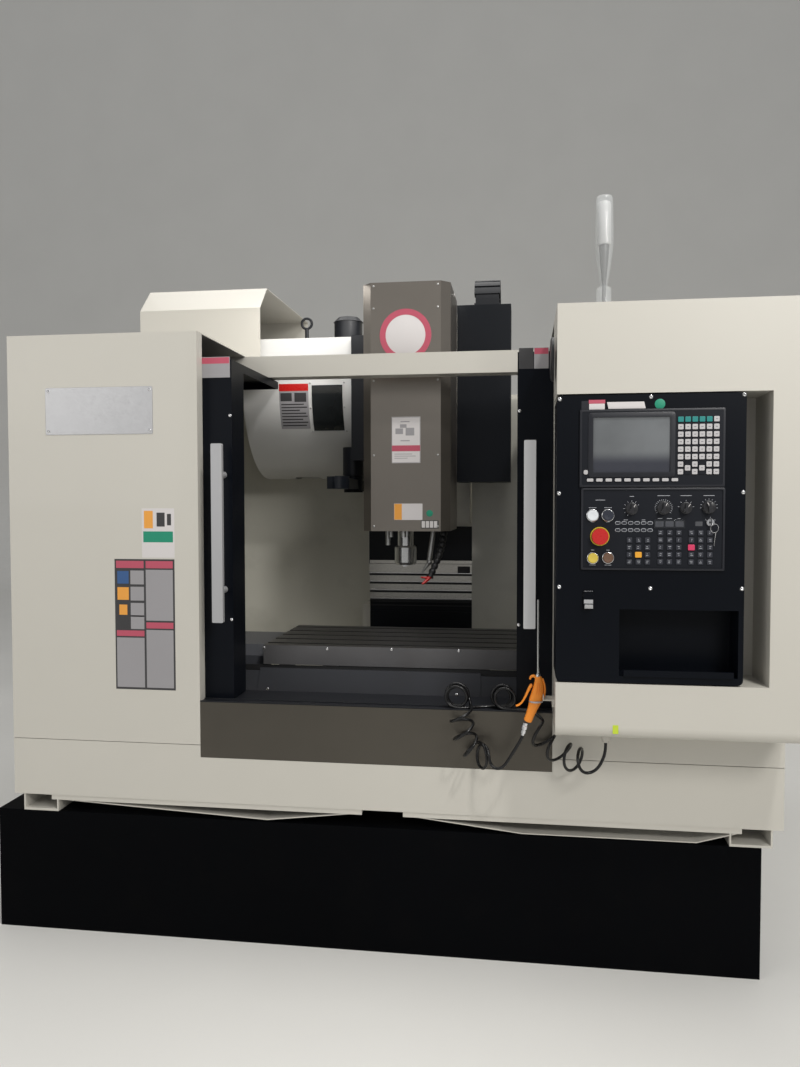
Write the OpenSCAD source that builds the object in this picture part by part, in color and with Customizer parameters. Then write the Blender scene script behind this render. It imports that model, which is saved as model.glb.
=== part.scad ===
/* [Enclosure] */
// Width of the enclosure
body_w = 2500; // [2400:10:2700]
// Height of the front panels
body_h = 2015; // [1990:5:2060]
// Depth from the front panels to the rear panels
body_d = 1900; // [1860:10:2000]
// Lower edge of the front skirt
skirt_low = 465; // [458:1:470]
// Seam between the skirt and the front panels
seam_h = 655; // [640:5:670]
// Sheet thickness of panels and covers
sheet_t = 3; // [2:0.5:4]
// Left end of the door opening, from the middle
opening_left = 585; // [560:5:600]
// Right end of the door opening, from the middle
opening_right = 561; // [540:1:575]
// Depth of the folded edges beside the doors
edge_d = 48; // [40:1:48]

/* [Coolant tank] */
// Length of the coolant tank
tank_w = 2500; // [2300:10:2600]
// Height of the coolant tank
tank_h = 408; // [380:1:408]
// How far the tank stands out on the left
tank_out = 62; // [40:2:100]
// Depth of the coolant tank
tank_d = 300; // [240:5:310]

/* [Doors] */
// Width of one door leaf
door_w = 600; // [580:5:620]
// Travel of one door
door_travel = 466; // [440:1:466]
// Lower edge of the door leaves
door_low = 803; // [803:1:810]
// Upper edge of the door leaves
door_top = 1928; // [1900:1:1928]
// Depth of the roof part of a door
door_roof_d = 550; // [500:5:580]
// Depth of the leading post of a door
door_post_d = 124; // [100:1:130]
// Length of a door handle
handle_h = 580; // [500:5:620]

/* [Table and saddle] */
// Length of the table
table_w = 1000; // [900:10:1000]
// Depth of the table
table_d = 500; // [460:10:500]
// Height of the table's top
table_top = 940; // [935:1:945]
// Thickness of the table
table_t = 70; // [64:1:74]
// Width of a T-slot
slot_w = 18; // [14:1:18]
// Distance between T-slots
slot_pitch = 100; // [80:5:110]
// Distance of the table's middle behind the front panels, as it stands
table_y = 564; // [560:1:590]
// Offset of the table's middle to the right, as it stands
table_x = 36; // [0:1:50]
// Depth of the saddle
saddle_d = 400; // [380:5:420]
// Length of the saddle
saddle_w = 680; // [640:10:760]

/* [Column and head] */
// Distance of the spindle axis behind the front panels
spindle_y = 745; // [735:1:760]
// Distance of the column's face behind the front panels
column_y = 1400; // [1400:1:1410]
// Width of the column
column_w = 500; // [480:5:500]
// Height of the column's top
column_top = 2340; // [2330:5:2345]
// Lower end of the spindle nose, as it stands
nose_low = 1205; // [1195:1:1215]
// Diameter of the spindle nose
nose_d = 88.9; // [80:0.1:90]
// Lower edge of the head cover, as it stands
cover_low = 1343; // [1340:1:1350]
// Height of the head cover
cover_h = 967; // [940:1:970]
// Width of the head cover
cover_w = 345; // [335:1:350]
// Corner chamfer of the head cover
cover_chamfer = 35; // [25:1:45]
// Offset of the head cover to the right of the spindle
cover_off = 14; // [10:1:18]
// Height of one plate of the upright way cover
plate_h = 140; // [132:1:145]
// Strip of each plate that shows, as it stands
plate_step = 40.75; // [38:0.25:42]
// Width of the upright way cover
plate_w = 500; // [480:5:504]

/* [Tool changer] */
// Radius of the magazine cover
drum_r = 400; // [390:1:400]
// Length of the magazine cover
drum_len = 497; // [480:1:500]
// Number of tool pots
pots = 24; // [16:1:24]
// Radius of the circle of tool pots
pot_pitch_r = 262; // [255:1:262]
// Distance of the arm's axis left of the spindle
arm_x = 285; // [284:1:290]
// Distance of the arm's axis behind the spindle axis
arm_dy = 355; // [350:1:360]

/* [Operator cabinet] */
// Depth of the operator cabinet in front of the panels
cabinet_d = 220; // [200:1:240]
// Lower edge of the operator cabinet
cabinet_low = 784; // [760:1:800]
// Lower edge of the console's opening
notch_low = 944; // [930:1:960]
// Upper edge of the console's opening
notch_top = 1761; // [1740:1:1780]
// Right end of the console's opening, from the middle
notch_right = 1142; // [1130:1:1160]
// Width of the swivelling console
console_w = 511; // [500:1:520]
// Depth of the swivelling console
console_d = 160; // [130:5:170]

/* [Electrical cabinet] */
// Width of the electrical cabinet
elec_w = 1100; // [1000:10:1200]
// Height of the electrical cabinet
elec_h = 1400; // [1200:10:1450]
// Depth of the electrical cabinet
elec_d = 260; // [220:5:300]
// Lower edge of the electrical cabinet
elec_low = 620; // [600:10:700]

/* [Hidden] */
$fn = 48;
e = 0.01;
seat = 0.3;
knob_h = 24;
handle_out = 34;
front_reach = cabinet_d + knob_h;
elec_back = body_d + sheet_t + elec_d;
rear_reach = elec_back + handle_out;
shift_x = tank_out / 2;
shift_y = (front_reach - rear_reach) / 2;
side_x = body_w / 2;
bed_low = 80;
bed_step = 480;
bed_top = 600;
bed_front = 250;
rail_x = 260;
rail_w = 34;
rail_h = 30;
foot_z = 560;
tunnel_top = 830;
tunnel_x = 235;
saddle_low = 655;
saddle_h = 135;
column_back = column_y + 0.7 * (body_d - column_y);
screw_z = 760;
table_front = table_y - table_d / 2;
cover_top = table_top - table_t - 14;
wall_x = 1130;
wall_y = 1285;
back_y = 1620;
floor_z = 500;
sill_z = 800;
inner_y = 190;
door_y = 50;
handle_mid = 1357;
z_rail_x = 180;
casting_low = 1360;
casting_top = 1900;
drum_y = 1460;
drum_z = 1970;
drum_right = -283;
drum_flat = 2185;
wheel_z = 1877;
arm_z = 1500;
arm_shaft_r = 30;
arm_y = spindle_y + arm_dy;
arm_r = sqrt(arm_x * arm_x + arm_dy * arm_dy);
hood_right = -690;
hood_front = 1030;
hood_top = 2430;
plate_top0 = 1167;
console_x = opening_right;
console_z = notch_low + 4;
console_h = notch_top - notch_low - 8;
face_y = -cabinet_d - 1;
hinge_x = console_x + 14;

// Leading edges of the door leaves, as they stand
left_edge = -485;
right_edge = 449;

// Knobs, buttons and key groups of the machine panel: place and radius or number of rows
knob_base = 14;
knobs = [[768, 1439, 15.5], [854, 1441, 17], [914, 1441, 14.7], [975, 1443, 16.3]];
button_travel = 3;
buttons = [[661, 1420, 15], [703, 1420, 15], [662, 1300, 14], [704, 1301, 14]];
stop_x = 681;
stop_z = 1361;
stop_r = 22.6;
key_groups = [[762, 1290, 4], [846, 1291, 5], [929, 1291, 5]];

// Blow gun and the pivot of its lever
gun_x = 513.7;
gun_y = -100;
pivot_x = 491;
pivot_z = 908;

// Routes of the air hose: points with the radius of the hose or of its free curls
hose_left = [[471.2, -100, 743.9, 4.5], [455, -93, 712, 4.5], [437, -80, 685, 4.5], [414, -62, 659, 4.5],
  [392, -48, 648, 5], [365, -45, 664, 20], [335, -45, 684, 36], [302, -45, 715, 37], [284, -45, 755, 37],
  [290, -45, 785, 30], [308, -30, 812, 12], [324, -8, 828, 4.5], [327, 14, 842, 4.5], [311.5, 24, 844.3, 4.5]];
hose_link = [[294.8, 30, 810, 4], [318, 33, 804.6, 4], [362, 33, 804.6, 4], [386.4, 30, 810, 4]];
hose_right = [[446.5, 12, 812, 4], [480, 12, 808, 4.5], [505, -5, 812, 6], [524, -40, 800, 20], [528, -45, 770, 36],
  [545, -45, 728, 37], [590, -45, 692, 37], [640, -50, 674, 36], [668, -75, 655, 12], [684, -92, 655, 5],
  [699, -98, 672, 4.5], [711, -100, 706, 4.5], [714, -100, 743.6, 4.5]];
coils = [[264, 844.3, 44], [415, 838.3, 38]];

// Moves a piece from the machine's own middle and front to the part's origin
module machine() {
  translate([shift_x, shift_y, 0]) children();
}

// Block between two corners
module block(a, b) {
  translate(a) cube(b - a);
}

// Block that is mirrored to both sides of the middle
module pair(a, b) {
  block(a, b);
  mirror([1, 0, 0]) block(a, b);
}

// Profile in the plane of depth and height, drawn out along the width
module across(x0, x1) {
  translate([x0, 0, 0]) rotate([90, 0, 90]) linear_extrude(x1 - x0) children();
}

// Profile in the plane of width and height, drawn out towards the rear
module rearward(y0, y1) {
  translate([0, y1, 0]) rotate([90, 0, 0]) linear_extrude(y1 - y0) children();
}

// Upright cylinder
module post(x, y, z0, z1, r) {
  translate([x, y, z0]) cylinder(h = z1 - z0, r = r);
}

// Cylinder whose axis runs from front to back
module stud(x, z, y0, y1, r) {
  translate([x, y1, z]) rotate([90, 0, 0]) cylinder(h = y1 - y0, r = r);
}

// Rectangle with round corners
module round_rect(w, h, r) {
  translate([r, 0]) square([w - 2 * r, h]);
  translate([0, r]) square([w, h - 2 * r]);
  for (x = [r, w - r], y = [r, h - r]) translate([x, y]) circle(r = r);
}

// Bed: cast base with two guide seats, rails and the front-to-back screw
module bed() {
  color("#c9c6ba") machine() {
    difference() {
      block([-430, 335, bed_low], [430, body_d - 20, bed_step]);
      for (y = [420 : 360 : 1500]) block([-360, y, bed_low - e], [360, y + 280, bed_step - 60]);
    }
    pair([rail_x - 45, bed_front, bed_step - 60], [rail_x + 45, column_y - 60, bed_top]);
    block([-rail_x + 45 - e, bed_front, bed_step - 60], [rail_x - 45 + e, bed_front + 90, bed_step]);
    pair([tunnel_x - 15, column_y, bed_step - e], [300, body_d - 20, foot_z]);
  }
  color("silver") machine() {
    pair([rail_x - rail_w / 2, bed_front + 12, bed_top], [rail_x + rail_w / 2, column_y - 70, bed_top + rail_h]);
    stud(0, bed_top, bed_front + 60, column_y + 30, 20);
    for (y = [bed_front + 20, column_y - 120]) block([-60, y, bed_step - e], [60, y + 60, bed_top + 45]);
  }
}

// Levelling feet: pad, threaded stem and lock nut
module levelling_feet() {
  color("#8a8a86") machine()
    for (x = [-380, 380], y = [380, 860, 1380, body_d - 70]) {
      post(x, y, 0, 18, 65);
      post(x, y, 18, 30, 40);
      post(x, y, 30, bed_low, 15);
      translate([x, y, 50]) cylinder(h = 22, r = 26, $fn = 6);
    }
}

// Column: tapered casting with a tunnel for the rear cover, rails and the upright screw
module column() {
  color("#dcd8cc") machine() {
    difference() {
      across(-column_w / 2 - 50, column_w / 2 + 50) polygon([[column_y, foot_z], [body_d - 20, foot_z],
        [body_d - 20, 900], [column_back, 1500], [column_back, column_top], [column_y, column_top]]);
      pair([column_w / 2, column_y - 1, 960], [column_w / 2 + 51, body_d, column_top + 1]);
      block([-tunnel_x, column_y - 1, foot_z - 1], [tunnel_x, body_d, tunnel_top]);
      block([-95, column_y - 1, 1000], [95, column_y + 110, column_top + 1]);
    }
  }
  color("silver") machine() {
    pair([z_rail_x - rail_w / 2, column_y - rail_h, 1150], [z_rail_x + rail_w / 2, column_y, column_top - 10]);
    post(0, column_y + 50, 1000, column_top, 20);
  }
}

// Coolant tank: open folded tank with a lid and a pump on its right end
module coolant_tank() {
  color("#14151c") machine() {
    difference() {
      block([-side_x - tank_out, 5, 0], [tank_w - side_x - tank_out, 5 + tank_d, tank_h - sheet_t]);
      block([sheet_t - side_x - tank_out, 5 + sheet_t, sheet_t],
        [tank_w - side_x - tank_out - sheet_t, 5 + tank_d - sheet_t, tank_h]);
    }
    block([-side_x - tank_out, 5, tank_h - sheet_t], [tank_w - side_x - tank_out, 5 + tank_d, tank_h]);
  }
}

// One hopper of the chip tray, a folded trough hung behind the skirt
module hopper(points, lip) {
  rearward(6, bed_front - 2) difference() {
    polygon(concat([[points[0][0], skirt_low]], points, [[points[len(points) - 1][0], skirt_low]]));
    translate([0, lip]) polygon(concat([[points[0][0], skirt_low]], points, [[points[len(points) - 1][0], skirt_low]]));
  }
}

// Chip tray: two hoppers, the hanging flange and a bracket at each end
module chip_tray() {
  color("#d8d5c9") machine() {
    hopper([[-1117, 449], [-360, 414], [-44, 452]], sheet_t);
    hopper([[90, 452], [467, 412], [998, 412], [1130, 450]], sheet_t);
    block([-1117, sheet_t + seat, 448], [-44, 6.5, skirt_low + 30]);
    block([90, sheet_t + seat, 448], [1130, 6.5, skirt_low + 30]);
  }
  color("#b9b8b0") machine() {
    for (x = [-1218, 1094]) difference() {
      block([x, sheet_t + seat, tank_h + seat], [x + 125, 250, skirt_low + 20]);
      block([x + 5, 2, 416], [x + 120, 251, skirt_low + 21]);
    }
  }
}

// Front skirt: folded panel under the doors, with folded edges
module front_skirt() {
  color("#e6e2d5") machine() {
    difference() {
      block([-side_x, 0, skirt_low], [side_x, edge_d - seat, seam_h]);
      block([sheet_t - side_x, sheet_t, skirt_low - 1], [side_x - sheet_t, edge_d + 1, seam_h - sheet_t]);
      block([-opening_left, -1, seam_h - 40], [opening_right, edge_d + 1, seam_h + 1]);
    }
    block([-opening_left, 0, seam_h - 43], [opening_right, edge_d - seat, seam_h - 40]);
  }
}

// One front panel with folded edges on both sides and at the top
module front_panel(x0, x1) {
  difference() {
    block([x0, 0, seam_h + 2], [x1, edge_d - seat, body_h]);
    block([x0 + sheet_t, sheet_t, seam_h], [x1 - sheet_t, edge_d + 1, body_h - sheet_t]);
  }
}

// Front panels beside the door opening
module front_panels() {
  color("#e9e5d8") machine() {
    front_panel(-side_x, -opening_left);
    front_panel(opening_right, side_x);
  }
}

// Apron: stainless panel under the doors with its top folded back as a sill
module apron() {
  color("#8c857a") machine() {
    block([-opening_left + 1, 0, seam_h - 39.5], [opening_right - 1, sheet_t, sill_z]);
    block([-opening_left + 1, 0, sill_z - sheet_t], [opening_right - 1, edge_d + e, sill_z]);
    block([-opening_left - 40, edge_d, sill_z - sheet_t], [opening_right + 40, inner_y + sheet_t, sill_z]);
    block([-opening_left + 1, edge_d - sheet_t - seat, seam_h - 20], [opening_right - 1, edge_d - seat, sill_z]);
  }
}

// Side, roof and rear wall of one half of the enclosure
module enclosure(x_in, roof_end) {
  block([side_x - sheet_t, edge_d, skirt_low], [side_x, body_d, body_h]);
  block([x_in, edge_d, body_h - sheet_t], [side_x, roof_end, body_h]);
  block([310, body_d - sheet_t, skirt_low], [side_x, body_d, body_h]);
  block([side_x - 30, edge_d, skirt_low], [side_x, edge_d + sheet_t, body_h]);
  block([side_x - 25, edge_d, skirt_low], [side_x, body_d, skirt_low + sheet_t]);
}

// Left half of the enclosure, with an access panel on its side
module left_enclosure() {
  color("#e9e5d8") machine() {
    mirror([1, 0, 0]) enclosure(opening_left, hood_front);
    block([-side_x + sheet_t - e, 500, 900], [-side_x + sheet_t + 12, 512, 1700]);
    block([-side_x + sheet_t - e, 1150, 900], [-side_x + sheet_t + 12, 1162, 1700]);
  }
}

// Right half of the enclosure
module right_enclosure() {
  color("#e9e5d8") machine() {
    enclosure(opening_right, wall_y);
    block([side_x - sheet_t - 12, 500, 900], [side_x - sheet_t + e, 512, 1700]);
    block([side_x - sheet_t - 12, 1150, 900], [side_x - sheet_t + e, 1162, 1700]);
  }
}

// Inner guard: sill, front, side and rear walls and floor plates of the work space
module inner_guard() {
  color("#d9d4c4") machine() {
    block([-wall_x, inner_y, floor_z], [wall_x, inner_y + sheet_t, sill_z - sheet_t]);
    block([-wall_x - sheet_t, inner_y, floor_z], [-wall_x, back_y + sheet_t, 1925]);
    block([wall_x, inner_y, floor_z], [wall_x + sheet_t, wall_y + sheet_t, 1925]);
    block([-wall_x, back_y, floor_z], [-column_w / 2 - 52, back_y + sheet_t, 1600]);
    block([-wall_x, back_y, 1599], [-800, back_y + sheet_t, 1925]);
    block([236, wall_y, 840], [wall_x, wall_y + sheet_t, 1925]);
    block([rail_x + 45 + seat, wall_y, floor_z], [wall_x, wall_y + sheet_t, 841]);
    block([-wall_x, inner_y, floor_z], [-rail_x - 48, back_y, floor_z + sheet_t]);
    block([rail_x + 48, inner_y, floor_z], [wall_x, wall_y, floor_z + sheet_t]);
    for (x = [-side_x + sheet_t, wall_x + sheet_t]) for (y = [300, 900])
      block([x, y, 1880], [x + side_x - wall_x - 2 * sheet_t, y + 30, 1925]);
  }
}

// Crossbeam: square tube under the roofs, from side to side
module crossbeam() {
  color("#e9e5d8") machine()
    difference() {
      block([-side_x + sheet_t, 498, body_h - sheet_t - 80], [side_x - sheet_t, 578, body_h - sheet_t]);
      block([-side_x, 502, body_h - sheet_t - 76], [side_x, 574, body_h - sheet_t - 4]);
    }
}

// Hood over the magazine's loading side, open on its right
module magazine_hood() {
  color("#eae6da") machine()
    difference() {
      across(-side_x, hood_right) polygon([[hood_front, body_h + seat / 3], [hood_front, hood_top - 110],
        [hood_front + 110, hood_top], [body_d, hood_top], [body_d, body_h + seat / 3]]);
      across(-side_x + sheet_t, hood_right + 1) polygon([[hood_front + sheet_t, body_h - 1],
        [hood_front + sheet_t, hood_top - 111], [hood_front + 111, hood_top - sheet_t],
        [body_d - sheet_t, hood_top - sheet_t], [body_d - sheet_t, body_h - 1]]);
    }
}

// Electrical cabinet: open box behind the column with its mounting plate and drives
module electrical_cabinet() {
  color("#dedbd0") machine() {
    difference() {
      block([-elec_w / 2, body_d + seat / 3, elec_low], [elec_w / 2, elec_back - sheet_t - seat, elec_low + elec_h]);
      block([sheet_t - elec_w / 2, body_d + sheet_t, elec_low + sheet_t],
        [elec_w / 2 - sheet_t, elec_back + 1, elec_low + elec_h - sheet_t]);
    }
    block([60 - elec_w / 2, body_d + sheet_t - e, elec_low + 60], [elec_w / 2 - 60, body_d + 12, elec_low + elec_h - 60]);
    for (x = [-420 : 130 : 100]) block([x, body_d + 12, elec_low + 700], [x + 100, body_d + 170, elec_low + 1060]);
    block([250, body_d + 12, elec_low + 640], [450, body_d + 140, elec_low + 1000]);
    for (z = [180, 400]) block([-440, body_d + 12, elec_low + z], [440, body_d + 70, elec_low + z + 110]);
  }
}

// Door of the electrical cabinet with its hinge knuckles
module electrical_door() {
  color("#dedbd0") machine() {
    block([-elec_w / 2 + 2, elec_back - sheet_t, elec_low + 4], [elec_w / 2, elec_back, elec_low + elec_h - 4]);
    for (z = [200, elec_h - 300])
      post(-elec_w / 2 - 8.5, elec_back - 2, elec_low + z, elec_low + z + 90, 8);
    for (z = [200, elec_h - 300])
      block([-elec_w / 2 - 8, elec_back - sheet_t, elec_low + z], [-elec_w / 2 + 20, elec_back, elec_low + z + 90]);
    for (z = [500 : 40 : 860]) block([-300, elec_back - e, elec_low + z], [-60, elec_back + 4, elec_low + z + 16]);
  }
}

// Turning handle of the main isolator, on the electrical door
module isolator_handle() {
  color("#c8201c") machine() {
    stud(elec_w / 2 - 120, elec_low + 1000, elec_back + seat, elec_back + 14, 30);
    block([elec_w / 2 - 128, elec_back + 13, elec_low + 974],
      [elec_w / 2 - 112, elec_back + handle_out, elec_low + 1026]);
  }
}

// Box of the operator cabinet, folded from sheet and open against the front panel
module cabinet_box(x0, x1, z0, z1) {
  difference() {
    block([x0, -cabinet_d, z0], [x1, -seat, z1]);
    block([x0 + sheet_t, sheet_t - cabinet_d, z0 + sheet_t], [x1 - sheet_t, 1, z1 - sheet_t]);
  }
}

// Operator cabinet: C-shaped housing that holds the swivelling console
module operator_cabinet() {
  color("#ebe7db") machine() {
    cabinet_box(opening_right, side_x, notch_top, body_h);
    difference() {
      across(opening_right, side_x) {
        translate([35 - cabinet_d, cabinet_low]) square([cabinet_d - 35 - seat, notch_low - cabinet_low]);
        translate([-cabinet_d, cabinet_low + 35]) square([36, notch_low - cabinet_low - 35]);
        translate([35 - cabinet_d, cabinet_low + 35]) circle(r = 35);
      }
      block([opening_right + 20, 20 - cabinet_d, cabinet_low + 20], [side_x - sheet_t, 1, notch_low - sheet_t]);
    }
    difference() {
      block([notch_right, -cabinet_d, notch_low - e], [side_x, -seat, notch_top + e]);
      block([notch_right + sheet_t, sheet_t - cabinet_d, notch_low - 1], [side_x - sheet_t, 1, notch_top + 1]);
    }
    block([opening_right, -40, notch_low - e], [notch_right + e, -37, notch_top + e]);
    block([opening_right, -40, notch_low - e], [opening_right + sheet_t, -seat, notch_top + e]);
    post(714, -100, 752, cabinet_low + 1, 14);
    post(714, -100, 744, 753, 10);
    block([528, -128, 868], [opening_right + e, -72, 871]);
    block([opening_right - 6, -128, 850], [opening_right + e, -72, 871]);
    block([528, -128, 868], [531, -72, 884]);
  }
}

// Signal lamp: foot, metal collar, tapered neck and clear tube
module signal_lamp() {
  color("#c8ccd0") machine() {
    post(703, -50, body_h + e, body_h + 8, 34);
    post(703, -50, body_h + 7, 2094, 22);
    translate([703, -50, 2093]) cylinder(h = 76, r1 = 13, r2 = 25);
    post(703, -50, 2168, 2362, 25);
    post(703, -50, 2361, 2369, 21);
  }
}

// Column cover: fixed lower plates and side plates in front of the column
module column_cover() {
  color("#15161a") machine() {
    block([-plate_w / 2, column_y - 70, tunnel_top + 10], [plate_w / 2, column_y - 67, plate_top0 - 66]);
    block([-plate_w / 2, column_y - 73, tunnel_top + 10], [plate_w / 2, column_y - 69, 940]);
    pair([plate_w / 2 - 12, column_y - 70, tunnel_top + 10], [plate_w / 2 - 9, column_y - seat, plate_top0 - 66]);
  }
}

// Cable chain box: open on top and at its back, held on the rear guard wall
module chain_box() {
  color("#101218") machine() {
    difference() {
      block([185, 1030, 1543], [415, 1190, 2300]);
      block([188, 1033, 1546], [412, 1187, 2301]);
    }
    for (z = [1600, 1840]) block([380, 1190 - e, z], [412, wall_y - 0.1, z + 60]);
  }
}

// Motors of the two fixed axes: one on top of the column, one in its tunnel
module axis_motors() {
  color("#1b1c20") machine() {
    block([-130, column_y, column_top + 0.1], [130, column_y + 160, column_top + 14]);
    post(0, column_y + 50, column_top + 13, column_top + 34, 62);
    block([-60, column_y - 10, column_top + 33], [60, column_y + 110, column_top + 135]);
    stud(0, bed_top, column_y + 30.3, column_y + 63, 55);
    block([-60, column_y + 62, bed_top - 60], [60, column_y + 230, bed_top + 60]);
    block([-60, column_y + 80, bed_step + 0.1], [60, column_y + 200, bed_top - 59]);
  }
}

// Outline of the magazine cover, round below and flat on top
module drum_outline(r, flat) {
  intersection() {
    union() {
      translate([drum_y, drum_z]) circle(r = r, $fn = 96);
      translate([drum_y - r, drum_z]) square([2 * r, r]);
    }
    translate([drum_y - r, drum_z - r]) square([2 * r, flat - drum_z + r]);
  }
}

// Magazine cover: D-shaped shell, open on the right, with a window in its front
module magazine_cover() {
  color("#edeae2") machine() {
    difference() {
      across(drum_right - drum_len, drum_right) drum_outline(drum_r, drum_flat);
      across(drum_right - drum_len + sheet_t, drum_right + 1) drum_outline(drum_r - sheet_t, drum_flat - sheet_t);
      difference() {
        block([drum_right - 200, drum_y - drum_r - 1, 1790], [drum_right - 50, drum_y - drum_r + 60, 2030]);
        across(drum_right - drum_len, drum_right) drum_outline(drum_r - 1.5, drum_flat);
      }
      block([-arm_x * 2 - 60, drum_y - 70, drum_z - drum_r - 1], [-arm_x * 2 + 60, drum_y + 70, drum_z - drum_r + 30]);
    }
    block([drum_right - 206, drum_y - drum_r - 4, 2026], [drum_right - 44, drum_y - drum_r + 2, 2040]);
  }
}

// Drive of the tool changer: cam box, arm bearing, bracket on the column, motor and lifting eye
module changer_drive() {
  color("#1a1b20") machine() {
    difference() {
      union() {
        block([-279, arm_y - 70, 1640], [-175, arm_y + 90, drum_flat]);
        post(-arm_x, arm_y, arm_z + 76, 1700, 46);
      }
      post(-arm_x, arm_y, arm_z + 75, 1720, arm_shaft_r + 0.05);
    }
    block([-420, drum_y - 300, 1760], [-278, drum_y + 120, drum_flat - sheet_t - 0.1]);
    block([-420, drum_y + 60, 1760], [-column_w / 2 - 0.1, drum_y + 240, 2100]);
    post(-345, 1300, drum_flat + 0.1, drum_flat + 14, 78);
    post(-345, 1300, drum_flat + 13, drum_flat + 112, 66);
    translate([-345, 1300, drum_flat + 111]) cylinder(h = 22, r1 = 70, r2 = 48);
  }
  color("silver") machine() {
    post(-545, 1300, drum_flat + 0.1, drum_flat + 20, 24);
    post(-545, 1300, drum_flat + 19, drum_flat + 88, 9);
    translate([-545, 1300, drum_flat + 113]) rotate([90, 0, 0]) rotate_extrude() translate([24, 0]) circle(r = 6);
  }
}

// Carousel: disc with a ring of tool pots and its shaft to the cam box
module carousel() {
  color("#3a3b40") machine() {
    translate([-520, drum_y, wheel_z]) rotate([0, 90, 0]) {
      difference() {
        cylinder(h = 14, r = pot_pitch_r + 31);
        for (a = [0 : 60 : 300]) rotate(a) translate([130, 0, -1]) cylinder(h = 16, r = 42);
      }
      cylinder(h = 99.7, r = 40);
    }
    for (i = [0 : pots - 1]) translate([-620, drum_y, wheel_z]) rotate([0, 90, 0])
      rotate(i * 360 / pots) translate([pot_pitch_r, 0, 0]) difference() {
        cylinder(h = 101, r = 30, $fn = 32);
        translate([0, 0, -1]) cylinder(h = 62, r = 22, $fn = 32);
      }
  }
}

// Double-ended change arm with its shaft, parked front to back
module change_arm() {
  color("#1d1e22") machine()
    translate([-arm_x, arm_y, arm_z]) rotate(3) {
      cylinder(h = 75.5, r = 42);
      cylinder(h = 198, r = arm_shaft_r);
      block([-28, 40 - arm_r, 14], [28, arm_r - 40, 56]);
      for (s = [0, 180]) rotate(s) difference() {
        translate([0, -arm_r, 10]) cylinder(h = 50, r = 50);
        translate([0, -arm_r, 9]) cylinder(h = 52, r = 32);
        block([-60, -arm_r - 60, 9], [0, 24 - arm_r, 61]);
      }
    }
}

// One straight stretch of the cable chain, a row of links on two side bands
module chain_run(y, z0, z1) {
  block([262, y + 6, z0], [362, y + 34, z1]);
  for (z = [z0 : 44 : z1 - 40]) block([257, y, z], [367, y + 40, z + 36]);
}

// Cable chain: two runs and the bend that joins them at the top
module cable_chain() {
  color("#33353a") machine() {
    chain_run(1060, 1750, 2336);
    chain_run(1210, 1750, 2336);
    translate([0, 1155, 2335]) rotate([90, 0, 90]) {
      translate([0, 0, 262]) rotate_extrude(angle = 180) translate([61, 0]) square([28, 100]);
      for (a = [6 : 24 : 168]) rotate(a) translate([0, 0, 257])
        rotate_extrude(angle = 18) translate([55, 0]) square([40, 110]);
    }
  }
}

// Carriage that grips a rail: a block with the rail's groove in it
module rail_carriage(x, y, z, along) {
  difference() {
    block([x - 45, y, z], [x + 45, y + along, z + 44]);
    block([x - rail_w / 2 - seat, y - 1, z - 1], [x + rail_w / 2 + seat, y + along + 1, z + 18 + seat]);
  }
}

// Saddle: cross casting on the bed's rails, with the table's rails and both nuts
module saddle() {
  color("#bfbcb2") machine() {
    difference() {
      block([-saddle_w / 2, table_y - saddle_d / 2, saddle_low], [saddle_w / 2, table_y + saddle_d / 2, saddle_low + saddle_h]);
      block([-saddle_w / 2 - 1, table_y - 70, saddle_low + 60], [saddle_w / 2 + 1, table_y + 70, saddle_low + saddle_h + 1]);
      block([-80, table_y - saddle_d / 2 - 1, saddle_low - 1], [80, table_y + saddle_d / 2 + 1, saddle_low + 35]);
    }
    for (x = [-rail_x, rail_x], y = [table_y - saddle_d / 2 + 10, table_y + saddle_d / 2 - 110])
      rail_carriage(x, y, saddle_low - 43, 100);
    difference() {
      block([-45, table_y - 45, bed_top - 35], [45, table_y + 45, saddle_low + 36]);
      stud(0, bed_top, table_y - 46, table_y + 46, 21);
    }
    difference() {
      block([-50, table_y - 45, saddle_low + 59], [50, table_y + 45, saddle_low + saddle_h + 10]);
      translate([-51, table_y, screw_z]) rotate([0, 90, 0]) cylinder(h = 102, r = 17);
    }
  }
  color("silver") machine()
    for (y = [table_y - 140, table_y + 140])
      block([10 - saddle_w / 2, y - rail_w / 2, saddle_low + saddle_h - e],
        [saddle_w / 2 - 10, y + rail_w / 2, saddle_low + saddle_h + rail_h]);
}

// Saddle cover: wide front sheet with a raised panel, and the plate that runs back into the column's tunnel
module saddle_cover() {
  color("#3b3c40") machine() {
    rearward(table_front - 5, table_front - 2 + e)
      polygon([[-500, 690], [323, 690], [323, cover_top], [-475, cover_top]]);
    block([-475, table_front - 5, cover_top - 3], [323, table_front + 41, cover_top]);
    block([-620, table_front - 2, 690], [600, table_front + 1, cover_top - 10]);
    block([-475, table_front - 2, 690], [-472, table_front + 41, cover_top]);
    block([320, table_front - 2, 690], [323, table_front + 41, cover_top]);
    block([-330, table_front, 800], [323, table_y - saddle_d / 2, 803]);
    block([-200, table_front, 740], [200, table_y - saddle_d / 2 - 0.1, 743]);
    block([-220, table_y + saddle_d / 2 + 0.1, saddle_low + saddle_h - 3], [220, column_y - 40, saddle_low + saddle_h]);
    pair([217, table_y + saddle_d / 2 + 0.1, saddle_low + 60], [220, column_y - 40, saddle_low + saddle_h]);
  }
}

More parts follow.
